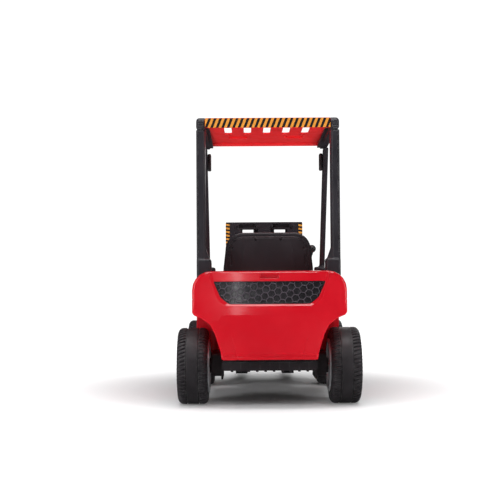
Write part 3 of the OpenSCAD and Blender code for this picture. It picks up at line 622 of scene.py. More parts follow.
REAR_SILHOUETTE = outline([
    (-60, 148, 0), (148, 148, 6), (152, 178, 0), (168, 230, 30), (184, 262, 20), (210, 281, 20),
    (HALF_W - 6, 290, 6), (HALF_W, 299, 8), (HALF_W, HOOD_Z, 58), (-60, HOOD_Z, 0)])
HOOD_SIDE = outline([
    (TAIL_Y + 14, 150, 2), (TAIL_Y + 12, 166, 3), (TAIL_Y + 5, 172, 4), (TAIL_Y, 290, 60),
    (TAIL_Y, HOOD_Z + 60, 0), (-458, HOOD_Z + 60, 0), (-458, SEAT_Z, 6), (-160, SEAT_Z, 10),
    (-160, 150, 3)])
FENDER_SIDE = outline([
    (TAIL_Y + 6, 250, 0), (TAIL_Y, 290, 30), (TAIL_Y, HOOD_Z + 60, 0), (-548, HOOD_Z + 60, 0),
    (-300, 352, 60), (-250, 318, 50), (-230, 240, 60), (-224, 152.5, 3), (-300, 152.5, 0),
    (-420, 230, 0)])
PANEL_EDGE = outline([
    (-60, 317.5, 0), (133, 317.5, 24), (158, 338, 18), (180, 398, 20), (183, 420, 0), (183, 500, 0),
    (-60, 500, 0)])
GRILLE_EDGE = outline([
    (-60, 324, 0), (126, 324, 24), (151, 345, 22), (166, 378, 30), (172, 394, 2), (-60, 394, 0)])
PANEL_DEPTH = 3.2
GRILLE_BACK = 8.5


def hood_form(x, y, z):
    """Outer form of the rear body: hood, fenders with their arches, and the seat's plinth."""
    a = abs(x)
    crease = 117 - (229 - z) * 0.255
    facet = 2.4 * ramp(a - crease, -1.0, 1.2) * ramp(248 - z, 0, 90) * ramp(-540 - y, 0, 20)
    lip = 4.5 * np.clip((171 - z) / 9, 0, 1) * ramp(-540 - y, 0, 20)
    y = y - facet + lip
    hood = both(inside(y, z, HOOD_SIDE), either(y + 244, a - PLINTH_HALF, 12), 7)
    wing = both(inside(y, z, FENDER_SIDE), PLINTH_HALF - a, 9)
    form = either(hood, wing, 5)
    wide = common(-(y + 322), a - HALF_W)
    silhouette = np.minimum(inside(a, z, REAR_SILHOUETTE), wide)
    form = both(form, silhouette, 9 + 7 * ramp(z, 285, 350) * ramp(-300 - y, 0, 60))
    from_axle = np.hypot(y - REAR_Y, z - WHEEL_R)
    arch = both(from_axle - ARCH_R, 156 - a, 8)
    rim_step = both(from_axle - ARCH_R - 6, HALF_W - 3.5 - a, 1)
    return less(less(form, arch, 4), rim_step, 1.5)


def rear_shell(x, y, z):
    """Rear body: hollow, with a recessed field for the grille, a finger pull, seams and pockets."""
    a = abs(x)
    form = hood_form(x, y, z)
    hollow = hood_form(x, y, np.maximum(z, 166)) + SHELL_WALL
    low = common(a - 141, 150 - z, abs(y + 363) - 197)
    f = less(form, both(hollow, TAIL_Y + 14 - y, 2), 0.5)
    f = less(f, common(low, z - 160), 0.5)
    slope_in = np.clip(-inside(a, z, PANEL_EDGE) * 0.45, 0, PANEL_DEPTH)
    f = common(f, TAIL_Y + slope_in - y)
    pocket = common(inside(a, z, GRILLE_EDGE), y - (TAIL_Y + GRILLE_BACK))
    f = less(f, pocket, 0.8)
    pull = block(x, y, z, (-29, TAIL_Y - 20, 402.5), (29, TAIL_Y + 11, 417.5), 3)
    f = less(f, pull, 1.6)
    seam = common(abs(a - 183.6) - 0.6, 402 - z, y + 506)
    f = engrave(f, seam, 1.3, 0.6)
    for low, high, r in (
        ((POST_OUT - 45.4, -504.4, 395.4), (POST_OUT + 40, -425.6, 520), 1.5),
        ((140, -469.4, 130), (166, -330.6, 173.4), 1),
        ((140, -292, 130), (260, -140, 152.3), 0.3),
        ((-149.3, -457, SEAT_Z), (149.3, -262, 470), 1),
    ):
        f = less(f, block(a, y, z, low, high, r), 0.6)
    side = common(abs(z - 338.5) - 0.9, HALF_W - 8 - a)
    return engrave(f, common(side, y + 262), 1.3, 0.6)


def build_rear_shell():
    fine = (((181, 186, 0.7),), ((TAIL_Y - 1, TAIL_Y + 9, 1.2),),
            ((160, 173, 1.2), (336, 341, 0.7), (400, 420, 1.4)))
    moulded("rear_shell_skin", rear_shell, (0, TAIL_Y, 150), (HALF_W, -160, HOOD_Z), 3.0,
            "red_shell", "rear_shell", fine=fine, keep=0.4)


HEX = 21.7                                # distance between neighbouring cells of the grille
HEX_TILT = math.radians(19.4)
HEX_MIDDLE = (-68.0, 369.0)               # middle of one cell
HEX_COS = 0.8660254                       # cosine of the 30 degrees between a cell's sides and corners


def hex_place(x, z):
    """Distance to the nearest cell's middle, measured as a hexagon and as a circle."""
    x, z = x - HEX_MIDDLE[0], z - HEX_MIDDLE[1]
    best = round_best = None
    along = (x * math.cos(HEX_TILT) + z * math.sin(HEX_TILT)) / HEX
    up = (-x * math.sin(HEX_TILT) + z * math.cos(HEX_TILT)) / HEX / (math.sqrt(3) / 2)
    for step in (0, 1):
        j = np.floor(up) + step
        i = np.round(along - j / 2)
        u = (along - i - j / 2) * HEX
        v = (up - j) * HEX * math.sqrt(3) / 2
        six = common(abs(u), abs(u) * 0.5 + abs(v) * HEX_COS)
        disc = np.hypot(u, v)
        best = six if best is None else np.minimum(best, six)
        round_best = disc if round_best is None else np.minimum(round_best, disc)
    return best, round_best


def grille_panel(x, y, z):
    """Honeycomb panel: raised lines round the cells, and a faint ring in each."""
    a = abs(x)
    six, disc = hex_place(x, z)
    ridge = ramp(six, HEX / 2 - 1.4, HEX / 2 - 0.9)
    ring = ramp(abs(disc - 6.4), 1.0, 0.2)
    depth = 2.6 * (1 - ridge) + 0.5 * ring
    border = ramp(-inside(a, z, GRILLE_EDGE), 4.0, 3.0)
    depth = depth * (1 - border)
    plate = both(inside(a, z, GRILLE_EDGE) + 0.4, y - (TAIL_Y + GRILLE_BACK - 0.3), 0.4)
    return both(plate, (TAIL_Y + 4.0 + depth - y) * 0.75, 0.3)


def build_grille():
    low, high = (-172, TAIL_Y + 3, 323), (172, TAIL_Y + 9, 395)
    mesh = field_mesh("rear_grille_panel", grille_panel, low, high, 0.9, mirror=False)
    for key in ("panel_black", "panel_line"):
        mesh.materials.append(MATERIALS[key])
    centre = np.array([p.center for p in mesh.polygons]) / MM
    six, _ = hex_place(centre[:, 0], centre[:, 2])
    near = -inside(abs(centre[:, 0]), centre[:, 2], GRILLE_EDGE)
    line = (six > HEX / 2 - 1.15) & (near > 4.2) & (centre[:, 1] < TAIL_Y + 5.2)
    mesh.polygons.foreach_set("material_index", line.astype(int).tolist())
    piece("rear_grille_panel", mesh, "panel_black", "rear_grille")


COWL_SIDE = outline([
    (-24, 262, 6), (-31, 335, 20), (*column_point(-62, DASH_S - 16), 8),
    (*column_point(-56, DASH_S - 2), 6), (*column_point(-48, DASH_S), 4),
    (*column_point(46, DASH_S), 10), (60, 470, 30), (150, 446, 60), (250, 430, 46), (254, 262, 8)])
COWL_FRONT = outline([
    (-60, 240, 0), (HALF_W, 240, 0), (HALF_W, 408, 58), (132, 418, 26), (112, 520, 0), (-60, 520, 0)])


def cowl_form(x, y, z):
    """Outer form of the front body, with its wheel arches."""
    a = abs(x)
    form = both(inside(y, z, COWL_SIDE), inside(a, z, COWL_FRONT), 12)
    arch = both(np.hypot(y - FRONT_Y, z - WHEEL_R) - 152, 140 - a, 6)
    return less(form, arch, 5)


def front_cowl(x, y, z):
    """Front body: hollow, with a nose below, pockets, a seam, side vents and front slots."""
    a = abs(x)
    form = cowl_form(x, y, z)
    nose = block(x, y, z, (-134, -26, 169.3), (134, 222, 330), 8)
    form = either(form, nose, 3)
    hollow = cowl_form(x, y, np.maximum(z, 300)) + SHELL_WALL
    inner = block(x, y, z, (-129.5, -21.5, 100), (129.5, 217.5, 300), 5)
    f = less(form, np.minimum(hollow, inner), 0.5)
    v, s = column_frame(y, z)
    plate = block(x, v, s, (-92.4, -38.4, DASH_S - 5.4), (92.4, 38.4, DASH_S + 30), 3)
    f = less(f, plate, 0.8)
    foot = block(a, y, z, (FOOT_IN - 0.4, 95.6, 381.6), (POST_OUT + 40, 160.4, 520), 1.5)
    f = less(f, foot, 0.6)
    f = less(f, rod(a, z, y, (HEADLIGHT_X, HEADLIGHT_Z), 24.6, HEADLIGHT_Y - 2, 290), 1.2)
    seam = abs(a - 137) - 0.9
    f = engrave(f, common(seam, 250 - z), 1.6, 0.6)
    vents = lines(y - 62, 16) - 2.6
    vents = common(vents, rect(y, z, (60, 320), (126, 372), 6))
    f = engrave(f, common(vents, 225 - a), 3.0, 0.9)
    slots = common(lines(z - 300, 18) - 3.5, rect(a, z, (-60, 300), (96, 392), 10))
    return engrave(f, common(slots, 246 - y), 3.2, 1.2)


def build_front_cowl():
    moulded("front_cowl_skin", front_cowl, (0, -82, 169), (HALF_W, 256, 475), 2.8,
            "red_shell", "front_cowl", fine=(((134, 140, 0.8),), (), ()))


ROOF_UNDER, ROOF_SUNK, ROOF_TOP = 893, 900, 913
ROOF_REAR, ROOF_FRONT = -501, -67
ROOF_SIDE = outline([
    (ROOF_REAR, 881, 1.5), (-496, 881, 1.5), (-493, ROOF_UNDER, 5), (-346, ROOF_UNDER, 4),
    (-336, 895, 4), (-78, ROOF_UNDER, 6), (-74, 883, 2), (-69, 883, 2), (ROOF_FRONT, ROOF_TOP, 9),
    (ROOF_REAR, ROOF_TOP, 3)])
ROOF_FIELD = outline([
    (-476, ROOF_SUNK, 0), (-280, ROOF_SUNK, 20), (-194, ROOF_TOP, 0), (-194, 950, 0), (-476, 950, 0)])
SLOT_PITCH = 64.5
SLOT_HALF = 12


def roof_panel(x, y, z):
    """Roof: a sunk field with five slots, two recesses below, a bead and ribs."""
    a = abs(x)
    f = both(inside(y, z, ROOF_SIDE), a - ROOF_HALF, 3)
    f = less(f, common(inside(y, z, ROOF_FIELD), a - 158), 2.0)
    near = abs(x - np.clip(np.round(x / SLOT_PITCH), -2, 2) * SLOT_PITCH)
    slot = rect(near, y, (-SLOT_HALF, -462), (SLOT_HALF, -282), 9)
    f = less(f, slot, 1.6)
    recess = common(rect(a, y, (65, -252), (128, -186), 9), z - 901)
    f = less(f, recess, 2.0)
    bead = common(abs(rect(x, y, (-184, -486), (184, -262), 24)) - 2.2, 885 - z)
    f = np.where(z > ROOF_SUNK, engrave(f, bead, 1.4, 0.9), f)
    rib = abs(np.mod(a - 16.1, 32.25) - 16.1) - 3
    rib = common(rib, abs(y + 130) - 38)
    f = np.where(z > ROOF_SUNK, engrave(f, rib, 1.8, 1.0), f)
    wave = common(abs(y + 474 + 2.5 * np.cos(x / SLOT_PITCH * 2 * math.pi)) - 0.8, z - 897)
    return np.where(z < ROOF_SUNK, engrave(f, wave, 1.0, 0.4), f)


def build_roof():
    low, high = (0, ROOF_REAR - 1, 880), (ROOF_HALF, ROOF_FRONT + 1, ROOF_TOP + 1)
    # The roof takes the red that is painted brighter to stand in for the light bounced up from the floor.
    moulded("roof_skin", roof_panel, low, high, 2.2,
            "red_roof_painted_bounce", "roof_panel", fine=((), ((-478, -470, 1.1),), ()), keep=0.6)


# ---- seat

SEAT_HALF = 145
SEAT_BACK = outline([
    (-60, 331, 0), (SEAT_HALF, 331, 8), (SEAT_HALF, 436, 60), (139, 486, 0),
    *arc(82, 495, 56, 10, 84), (-60, 551, 0)])
SEAT_BACK_SIDE = outline([
    (-428, SEAT_Z + 0.6, 4), (-445.6, 556, 0), (-416, 556, 6), (-386, SEAT_Z + 0.6, 4)])
SEAT_DISH = outline([
    (-60, 372, 0), (112, 372, 12), (112, 480, 50), (84, 512, 30), (-60, 512, 0)])
COVER_EDGE = outline([
    (-60, 335, 0), (134, 335, 6), (134, 436, 60), (128, 482, 0), *arc(80, 488, 50, 10, 84), (-60, 538, 0)])


def seat(x, y, z):
    """Bucket seat: pan with a rolled front, side bolsters, dished back, ribs and piping."""
    a = abs(x)
    pan = block(x, y, z, (-SEAT_HALF, -412, SEAT_Z + 0.6), (SEAT_HALF, -175, 366), 13)
    nose = both(pan, np.hypot(y + 225, z - 326) - 58 - np.maximum(0, -(y + 225)) * 3, 8)
    bolster = block(a, y, z, (110, -412, SEAT_Z + 0.6), (SEAT_HALF, -200, 391), 15)
    back = both(inside(a, z, SEAT_BACK), inside(y, z, SEAT_BACK_SIDE), 7)
    f = either(either(nose, bolster, 12), back, 10)
    front = -(y + 389 + (z - 331.5) * 0.131)
    dish = both(rod(y, z, x, (-285, 726), 372, -106, 106, 10), front, 6)
    f = less(f, dish, 6)
    lean = -(y + 424 + (z - 372) * 0.096)
    hollow = both(inside(a, z, SEAT_DISH), lean, 8)
    f = less(f, hollow, 6)
    rib = lines(z - 396, 30) - 1.4
    rib = common(rib, rect(a, z, (-60, 398), (72, 500), 10), -(y + 436))
    f = engrave(f, rib, 2.0, 1.4)
    lane = lines(y + 205, 42) - 1.5
    lane = common(lane, rect(a, y, (-60, -370), (70, -206), 10), 345 - z)
    f = engrave(f, lane, 2.0, 1.4)
    piping = abs(a - 112) - 1.2
    return engrave(f, common(piping, 360 - z), 1.2, 0.8)


def build_seat():
    moulded("seat_bucket", seat, (0, -446, 331), (SEAT_HALF, -174, 552), 2.2,
            "seat_black", "seat_shell")


COVER_SCREWS = [(116.0, 500.0), (41.0, 527.0)]


def leaned(y, z):
    """Plane that stands at y where the seat's back begins, and leans back with it."""
    return y - 17.6 * (z - 331.5) / 228.5


def cover_face(a, z):
    """Rear face of the seat's cover: a flat middle and side panels that turn forwards."""
    flat = leaned(-436, z)
    fold = 74 + (527 - z) * 0.138
    beyond = a - fold
    return flat + np.where(beyond > 0, beyond * 0.12, 0) + 0.6


def seat_cover(x, y, z):
    """Cover of the hollow behind the seat, with a rim groove, screw seats and two slots."""
    a = abs(x)
    plane = leaned(-428.8, z)
    face = (cover_face(a, z) - y) * 0.99
    f = both(both(inside(a, z, COVER_EDGE), face, 3.4), y - plane, 0.6)
    rim = abs(inside(a, z, COVER_EDGE) + 5.0) - 1.0
    f = engrave(f, common(rim, y + 425), 1.5, 0.8)
    for u, v in COVER_SCREWS:
        f = less(f, rod(a, z, y, (u, v), 4.0, -470, cover_face(u, v) + 4.0), 1.0)
    slot = rect(a, z, (116.4, 445), (121.6, 478), 2.4)
    return less(f, slot, 0.8)


def build_seat_cover():
    moulded("seat_cover_panel", seat_cover, (0, -455, 334), (135, -428, 540), 1.1,
            "seat_black", "seat_back_cover", fine=(((108, 135, 0.8),), (), ()))


# ---- guard

DIAGONAL = 0.7071                         # sine of 45 degrees
POST_IN = POST_OUT - 28
POST_FOOT_IN = POST_OUT - 45
POST_FRONT = outline([
    (POST_FOOT_IN, 390, 0), (POST_FOOT_IN, 452, 10), (POST_OUT - 37, 474, 8), (POST_IN, 500, 22),
    (POST_IN, GUARD_H - 40, 0), (POST_OUT, GUARD_H - 40, 0), (POST_OUT, 390, 0)])


def rear_post(x, y, z):
    """Right rear post, with its flared foot and moulded lines."""
    post = both(inside(x, z, POST_FRONT), abs(y + 473) - 27, 6)
    corner = (POST_OUT - 22 - x + (-500 - y)) * DIAGONAL
    post = both(post, common(corner, z - 900), 1.5)
    post = both(post, np.hypot(np.maximum(x - POST_OUT + 6, 0), np.maximum(-494 - y, 0)) - 6, 0.5)
    foot = block(x, y, z, (POST_FOOT_IN, -504, 380), (POST_OUT - 0.6, -426, 466), 8)
    f = either(post, foot, 4)
    f = common(f, x - POST_OUT, 396 - z)
    for mark, face in (
        (abs(x - (POST_OUT - 6.5)) - 0.8, y + 497),
        (abs(y + 462) - 0.8, POST_OUT - 2.5 - x),
        (abs(y + 484) - 0.8, POST_OUT - 2.5 - x),
    ):
        f = engrave(f, common(mark, face, 486 - z), 1.3, 0.5)
    bolt = rod(y, z, x, (-465, 452), 9, POST_OUT - 2.4, POST_OUT + 20)
    return less(f, bolt, 0.8)


def top_rail(x, y, z):
    """Right top rail: ribbed on its outside, with a strip under the roof."""
    side = outline([
        (-500, GUARD_H - 39.7, 2), (-500, GUARD_H, 15), (-76, GUARD_H, 18), (-54, GUARD_H - 41, 2),
        (-100, GUARD_H - 41, 3), (-116, GUARD_H - 39.7, 3)])
    f = both(inside(y, z, side), x - POST_OUT, 11)
    f = both(f, POST_IN - x, 2.5)
    strip = outline([
        (-478, GUARD_H - 24, 1), (-300, GUARD_H - 26, 30), (-130, GUARD_H - 39.7, 20),
        (-74, GUARD_H - 39.7, 2), (-74, GUARD_H - 36, 2), (-110, GUARD_H - 22.4, 8),
        (-478, GUARD_H - 22.4, 0)])
    inner = both(inside(y, z, strip), abs(x - POST_OUT + 34) - 6, 1)
    f = np.minimum(f, inner)
    ribs = lines(y + 500, 13) - 2.2
    ribs = common(ribs, rect(y, z, (-470, GUARD_H - 34), (-120, GUARD_H - 10), 4))
    f = engrave(f, common(ribs, POST_OUT - 3 - x), 1.5, 0.7)
    steps = lines(z - GUARD_H, 7.5) - 1.2
    field = rect(x, z, (POST_OUT - 22, GUARD_H - 34), (POST_OUT - 6, GUARD_H - 12), 2)
    return engrave(f, common(steps, y + 496, field), 1.2, 0.5)


PILLAR_SIDE = outline([
    (-100, GUARD_H - 41.3, 2), (-54, GUARD_H - 41.3, 2), (160, 440, 20), (160, 384, 4), (96, 384, 4),
    (96, 440, 4), (118, 440, 14)])


def front_pillar(x, y, z):
    """Right front pillar, which leans forward into a foot on the cowl."""
    f = both(both(inside(y, z, PILLAR_SIDE), x - POST_OUT, 5), PILLAR_IN - x, 4)
    foot = block(x, y, z, (FOOT_IN, 98, 384), (POST_OUT - 0.6, 158, 446), 7)
    f = either(f, foot, 10)
    f = common(f, x - POST_OUT, 384 - z)
    lean = (y + 77) - (GUARD_H - 41.3 - z) * 0.49
    for offset in (-8.0, 8.0):
        mark = common(abs(lean * 0.9 - offset) - 0.9, 462 - z)
        f = engrave(f, common(mark, POST_OUT - 2.5 - x), 1.3, 0.5)
    return f


def build_guard():
    for name, node, field, low, high, cell in (
        ("rear_post_pair", "guard_rear_posts", rear_post, (-505, 395), (-425, GUARD_H - 39), 1.5),
        ("top_rail_pair", "guard_top_rails", top_rail, (-501, GUARD_H - 42), (-53, GUARD_H), 1.6),
        ("front_pillar_pair", "guard_front_pillars", front_pillar, (-101, 383), (161, 875), 1.8),
    ):
        half = field_mesh(
            name, field, (POST_OUT - 46, *low), (POST_OUT + 1, *high), cell, mirror=False)
        piece(name, mirrored_pair(half), "black_plastic", node)


def mirrored_pair(mesh):
    """The mesh and its mirror image across the vehicle, as one mesh that keeps its normals."""
    count = len(mesh.vertices)
    co = places_of(mesh)
    corner_of = np.empty(len(mesh.loops), int)
    mesh.loops.foreach_get("vertex_index", corner_of)
    corner = np.empty(len(mesh.loops) * 3)
    mesh.corner_normals.foreach_get("vector", corner)
    normal = np.zeros((count, 3))
    normal[corner_of] = corner.reshape(-1, 3)
    faces = [list(p.vertices) for p in mesh.polygons]
    other = [[v + count for v in reversed(face)] for face in faces]
    flip = np.array((-1.0, 1.0, 1.0))
    pair = bpy.data.meshes.new(mesh.name + "_pair")
    pair.from_pydata(np.concatenate([co, co * flip]).tolist(), [], faces + other)
    shade_smooth(pair)
    pair.normals_split_custom_set_from_vertices(np.concatenate([normal, normal * flip]).tolist())
    return pair


# ---- wheels

LUGS = 58
LUG_STEPS = 12                            # sections of the tyre's mesh for each lug
BAND_HALF, GROOVE_OUT, GROOVE_DEPTH = 16.5, 21, 3.6


def tread_drop(x, turn):
    """How far the tread lies below its full height at x across the tyre and a turn round it."""
    a = abs(x)
    outer = x > 0
    if a < BAND_HALF:
        return 0.25 * (1 + math.sin(turn * LUGS * 12 + a * 0.9)) * (a > 3)
    if a < GROOVE_OUT:
        return GROOVE_DEPTH
    slant = (a - GROOVE_OUT) * (0.022 if outer else -0.012)
    phase = (turn * LUGS + slant + (0 if outer else 0.5)) % 1.0
    gap = 0.34 if outer else 0.36
    edge = min(phase, 1 - phase) * 2
    rise = min(1.0, max(0.0, (edge - gap) / 0.12))
    if not outer and 31 < a < 34:
        rise = 0.0
    return (5.0 if outer else 3.0) * (1 - rise)


def tyre_mesh():
    """Tyre round X, with its outer side towards +X: centre band, two grooves and cut shoulders."""
    half = TYRE_W / 2
    top = WHEEL_R
    section = [(half - 12.5, 80, 0), (half - 6, 82.5, 0), (half - 2.5, 88, 0), (half - 0.6, 95, 0),
               (half - 0.2, 101, 0), (half - 1.4, 102, 0), (half - 1.4, 104, 0), (half - 0.2, 105, 0),
               (half - 0.3, 109, 0.8), (half - 2.0, 113.5, 1), (half - 5.2, 117.4, 1),
               (half - 9.0, 120.4, 1), (half - 13, top - 0.5, 1), (34, top - 0.1, 1), (31, top, 1),
               (27, top, 1), (23, top, 1), (21.2, top, 1), (20.6, top, 1), (17, top, 1),
               (16.4, top, 1), (12, top, 1), (8, top, 1), (4, top, 1), (0, top, 1)]
    section += [(-x, r, k) for x, r, k in reversed(section[:-1])]
    inner = [(-half + 16, 80, 0), (-half + 9, 96, 0), (half - 9, 96, 0), (half - 16, 80, 0)]
    ring = section + inner
    steps = LUGS * LUG_STEPS
    verts = []
    for k in range(steps):
        turn = k / steps
        c, s = math.cos(2 * math.pi * turn), math.sin(2 * math.pi * turn)
        for x, r, share in ring:
            r = r - tread_drop(x, turn) * share if share else r
            verts.append((x * MM, r * c * MM, r * s * MM))
    n = len(ring)
    faces = []
    for k in range(steps):
        here, there = k * n, (k + 1) % steps * n
        for i in range(n):
            j = (i + 1) % n
            faces.append((here + i, here + j, there + j, there + i))
    mesh = bpy.data.meshes.new("tyre")
    mesh.from_pydata(verts, [], faces)
    bm = bmesh.new()
    bm.from_mesh(mesh)
    bmesh.ops.recalc_face_normals(bm, faces=bm.faces)
    bm.to_mesh(mesh)
    bm.free()
    shade_smooth(mesh, 38)
    return mesh


RIM_SECTION = outline([
    (-49, 6.1, 0), (-49, 22, 2), (4, 22, 4), (12, 56, 6), (3, 73.5, 4), (-52.8, 73.5, 1),
    (-52.8, 86.5, 2), (-48, 86.5, 1), (-44, 79.6, 2), (43, 79.6, 2), (43.6, 84, 1), (46, 84, 1.5),
    (46, 73.5, 2), (19, 58, 6), (13, 22, 4), (30, 22, 2.5), (30, 6.1, 0)])


WINDOWS = 6


def rim(x, y, z):
    """Rim round X with its outer face towards +X: windows, ribs between them and a hub."""
    r = np.hypot(y, z)
    f = inside(x, r, RIM_SECTION)
    turn = np.arctan2(z, y)
    half = math.pi / WINDOWS
    near = np.mod(turn + half, 2 * half) - half
    across = near * r
    window = rect(across, r, (-13.5, 33), (13.5, 59), 7) + np.maximum(0, 46 - r) * 0.28
    f = less(f, common(window, abs(x - 8) - 14), 1.6)
    away = abs(near) - half
    spoke = common(abs(away * r) - 2.0, abs(r - 46) - 17)
    f = engrave(f, common(spoke, 10 - x), 1.4, 0.8)
    ring = abs(r - 67) - 1.2
    return engrave(f, common(ring, 16 - x), 1.2, 0.6)


def build_wheels():
    tyre = tyre_mesh()
    disc = field_mesh("rim", rim, (-53, -88, -88), (47, 88, 88), 1.9, mirror=False)
    tyre.materials.append(MATERIALS["tyre_black"])
    disc.materials.append(MATERIALS["rim_silver"])
    for end, y in (("front", FRONT_Y), ("rear", REAR_Y)):
        for side, sign in SIDES:
            place = Matrix.Translation(Vector((sign * WHEEL_X, y, WHEEL_R)) * MM)
            if sign < 0:
                place = place @ Matrix.Rotation(math.pi, 4, "Z")
            for kind, mesh in (("tyre", tyre), ("rim", disc)):
                node = f"{end}_{kind}_{side}"
                made = added(node + "_shown", mesh)
                made.matrix_world = place
                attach(made, BODY_OF[node])
                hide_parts(node)


# ---- steering wheel

RING_R = 95
GRIPS = 26
SPOKES = (-90, 25, 155)                   # directions in degrees


def steering_ring(x, y, z):
    """Steering wheel on its column: ring with finger grips, three spokes and a hub."""
    v, s = column_frame(y, z)
    s = s - WHEEL_S
    r = np.hypot(x, v)
    turn = np.arctan2(v, x)
    tube = 10.9 - 0.7 * ramp(np.cos(turn * GRIPS), 0.2, 0.9) * ramp(RING_R - r, -2, 4)
    ring = np.hypot(r - RING_R, s - 6) - tube
    hub = both(r - 34, abs(s + 1) - 9, 4)
    f = hub
    for angle in SPOKES:
        c, d = math.cos(math.radians(angle)), math.sin(math.radians(angle))
        along, across = x * c + v * d, v * c - x * d
        width = 13 - 3 * ramp(along, 30, 60) + 4 * ramp(along, 70, 95)
        spoke = both(abs(across) - width, abs(s - 1) - 5.6, 3)
        spoke = both(spoke, abs(along - 58) - 34, 2)
        groove = common(abs(across) - 3.2, abs(along - 62) - 18)
        spoke = np.where(s > 2, engrave(spoke, groove, 1.8, 1.0), spoke)
        f = either(f, spoke, 5)
    f = either(f, ring, 5)
    f = less(f, common(r - 28.6, 3 - s), 0.8)
    neck = common(r - 12.1, abs(s + 9) - 9)
    return less(np.minimum(f, neck), r - 6.2, 0.3)


def build_steering():
    y, z = column_point(0, WHEEL_S)
    moulded("steering_wheel_grip", steering_ring, (0, y - 112, z - 112), (107, y + 112, z + 112),
            1.9, "wheel_black", "steering_wheel")


# ---- lamps, and pieces turned on a lathe

def turned(name, profile, material, place, body, nodes=(), slot=None, steps=64, bevel=None):
    """A lathe-turned piece placed by a matrix."""
    mesh = lathe_mesh(name, profile, steps)
    mesh.transform(place)
    shade_smooth(mesh, 35)
    made = piece(name, mesh, material, *nodes, body=body, slot=slot)
    if bevel:
        bevel_edges(made, bevel)
    return made


CASE_RIGHT = PILLAR_IN - 0.3              # a work light's case stands on the inside of its pillar
CASE_LEFT = CASE_RIGHT - 12.7


def light_case(x, y, z):
    """Case of the right work light."""
    f = block(x, y, z, (CASE_LEFT, -62, 796), (CASE_RIGHT, -32, 858), 5)
    return engrave(f, abs(y + 40) - 0.8, 0.8, 0.5)


def light_lens(x, y, z):
    """Ribbed lens of the right work light."""
    f = block(x, y, z, (CASE_LEFT + 1.6, -33.5, 803), (CASE_RIGHT - 1.6, -29.2, 851), 1.5)
    cells = lines(z - 803, 9.6) - 4.2
    return engrave(f, common(-cells - 0.3, -30.6 - y), 0.8, 0.3)


def build_lamps():
    forward = Matrix.Rotation(-math.pi / 2, 4, "X")
    ring = [(17, 2), (24, 0), (24, 15.6), (23, 17.4), (20.5, 18), (19, 16.6), (18, 9), (17, 2)]
    bowl = [(0, 2.2), (17, 2.2), (18.2, 12), (17.2, 12), (14, 7), (9, 4.4), (0, 3.6)]
    lens = [(0, 9), (18.0, 12.2), (18.2, 13.0)]
    for k in range(9):
        lens.append((17.6 - k * 2.2 + 0.5 * (k % 2), 14.0 + 2.6 * math.sin(k / 8 * math.pi / 2)))
    lens.append((0, 16.6))
    for side, sign in SIDES:
        middle = Vector((sign * HEADLIGHT_X, HEADLIGHT_Y, HEADLIGHT_Z)) * MM
        place = Matrix.Translation(middle) @ forward
        nodes = ("headlights",) if sign < 0 else ()
        turned(f"headlight_ring_{side}", ring, "lamp_ring", place, "chassis", nodes, "lamp")
        turned(f"headlight_bowl_{side}", bowl, "lamp_ring", place, "chassis", (), "lamp")
        turned(f"headlight_lens_{side}", lens, "lamp", place, "chassis", (), "lamp")
    case = field_mesh(
        "case", light_case, (CASE_LEFT, -62, 796), (CASE_RIGHT, -32, 858), 1.2, mirror=False)
    lens = field_mesh(
        "lens", light_lens, (CASE_LEFT, -34, 802), (CASE_RIGHT, -29, 852), 0.8, mirror=False)
    piece("work_light_case_left", flipped(case), "lamp_dark", "work_lights", slot="lamp")
    piece("work_light_lens_left", flipped(lens), "lamp", body="chassis", slot="lamp")
    piece("work_light_case_right", case, "lamp_dark", body="chassis", slot="lamp")
    piece("work_light_lens_right", lens, "lamp", body="chassis", slot="lamp")


def flipped(mesh):
    """The mesh's mirror image across the vehicle alone."""
    pair = mirrored_pair(mesh)
    bm = bmesh.new()
    bm.from_mesh(pair)
    bmesh.ops.delete(bm, geom=[v for v in bm.verts if v.co.x > 0], context="VERTS")
    bm.to_mesh(pair)
    bm.free()
    shade_smooth(pair)
    return pair


# ---- ribs, bolts and controls

def boxes_mesh(name, boxes):
    """Mesh of many boxes (low, high) in millimetres."""
    bm = bmesh.new()
    for low, high in boxes:
        low, high = Vector(low) * MM, Vector(high) * MM
        grid = Matrix.Translation((low + high) / 2) @ Matrix.Diagonal((*(high - low), 1))
        bmesh.ops.create_cube(bm, size=1, matrix=grid)
    return mesh_from(bm, name)


def bolts_mesh(name, places, radius=5.0, height=3.4):
    """Domed hexagon heads on washers at [(point, direction)], in millimetres."""
    whole = bmesh.new()
    for point, direction in places:
        turn = Vector(direction).to_track_quat("Z", "Y").to_matrix().to_4x4()
        put = Matrix.Translation(Vector(point) * MM) @ turn
        for r, low, high, sides, top in (
            (radius * 1.45, 0, 1.0, 24, 0.94), (radius, 1.0, height, 6, 0.86)):
            middle = Matrix.Translation((0, 0, (low + high) / 2 * MM))
            bmesh.ops.create_cone(
                whole, cap_ends=True, segments=sides, radius1=r * MM, radius2=r * top * MM,
                depth=(high - low) * MM, matrix=put @ middle)
    return mesh_from(whole, name)


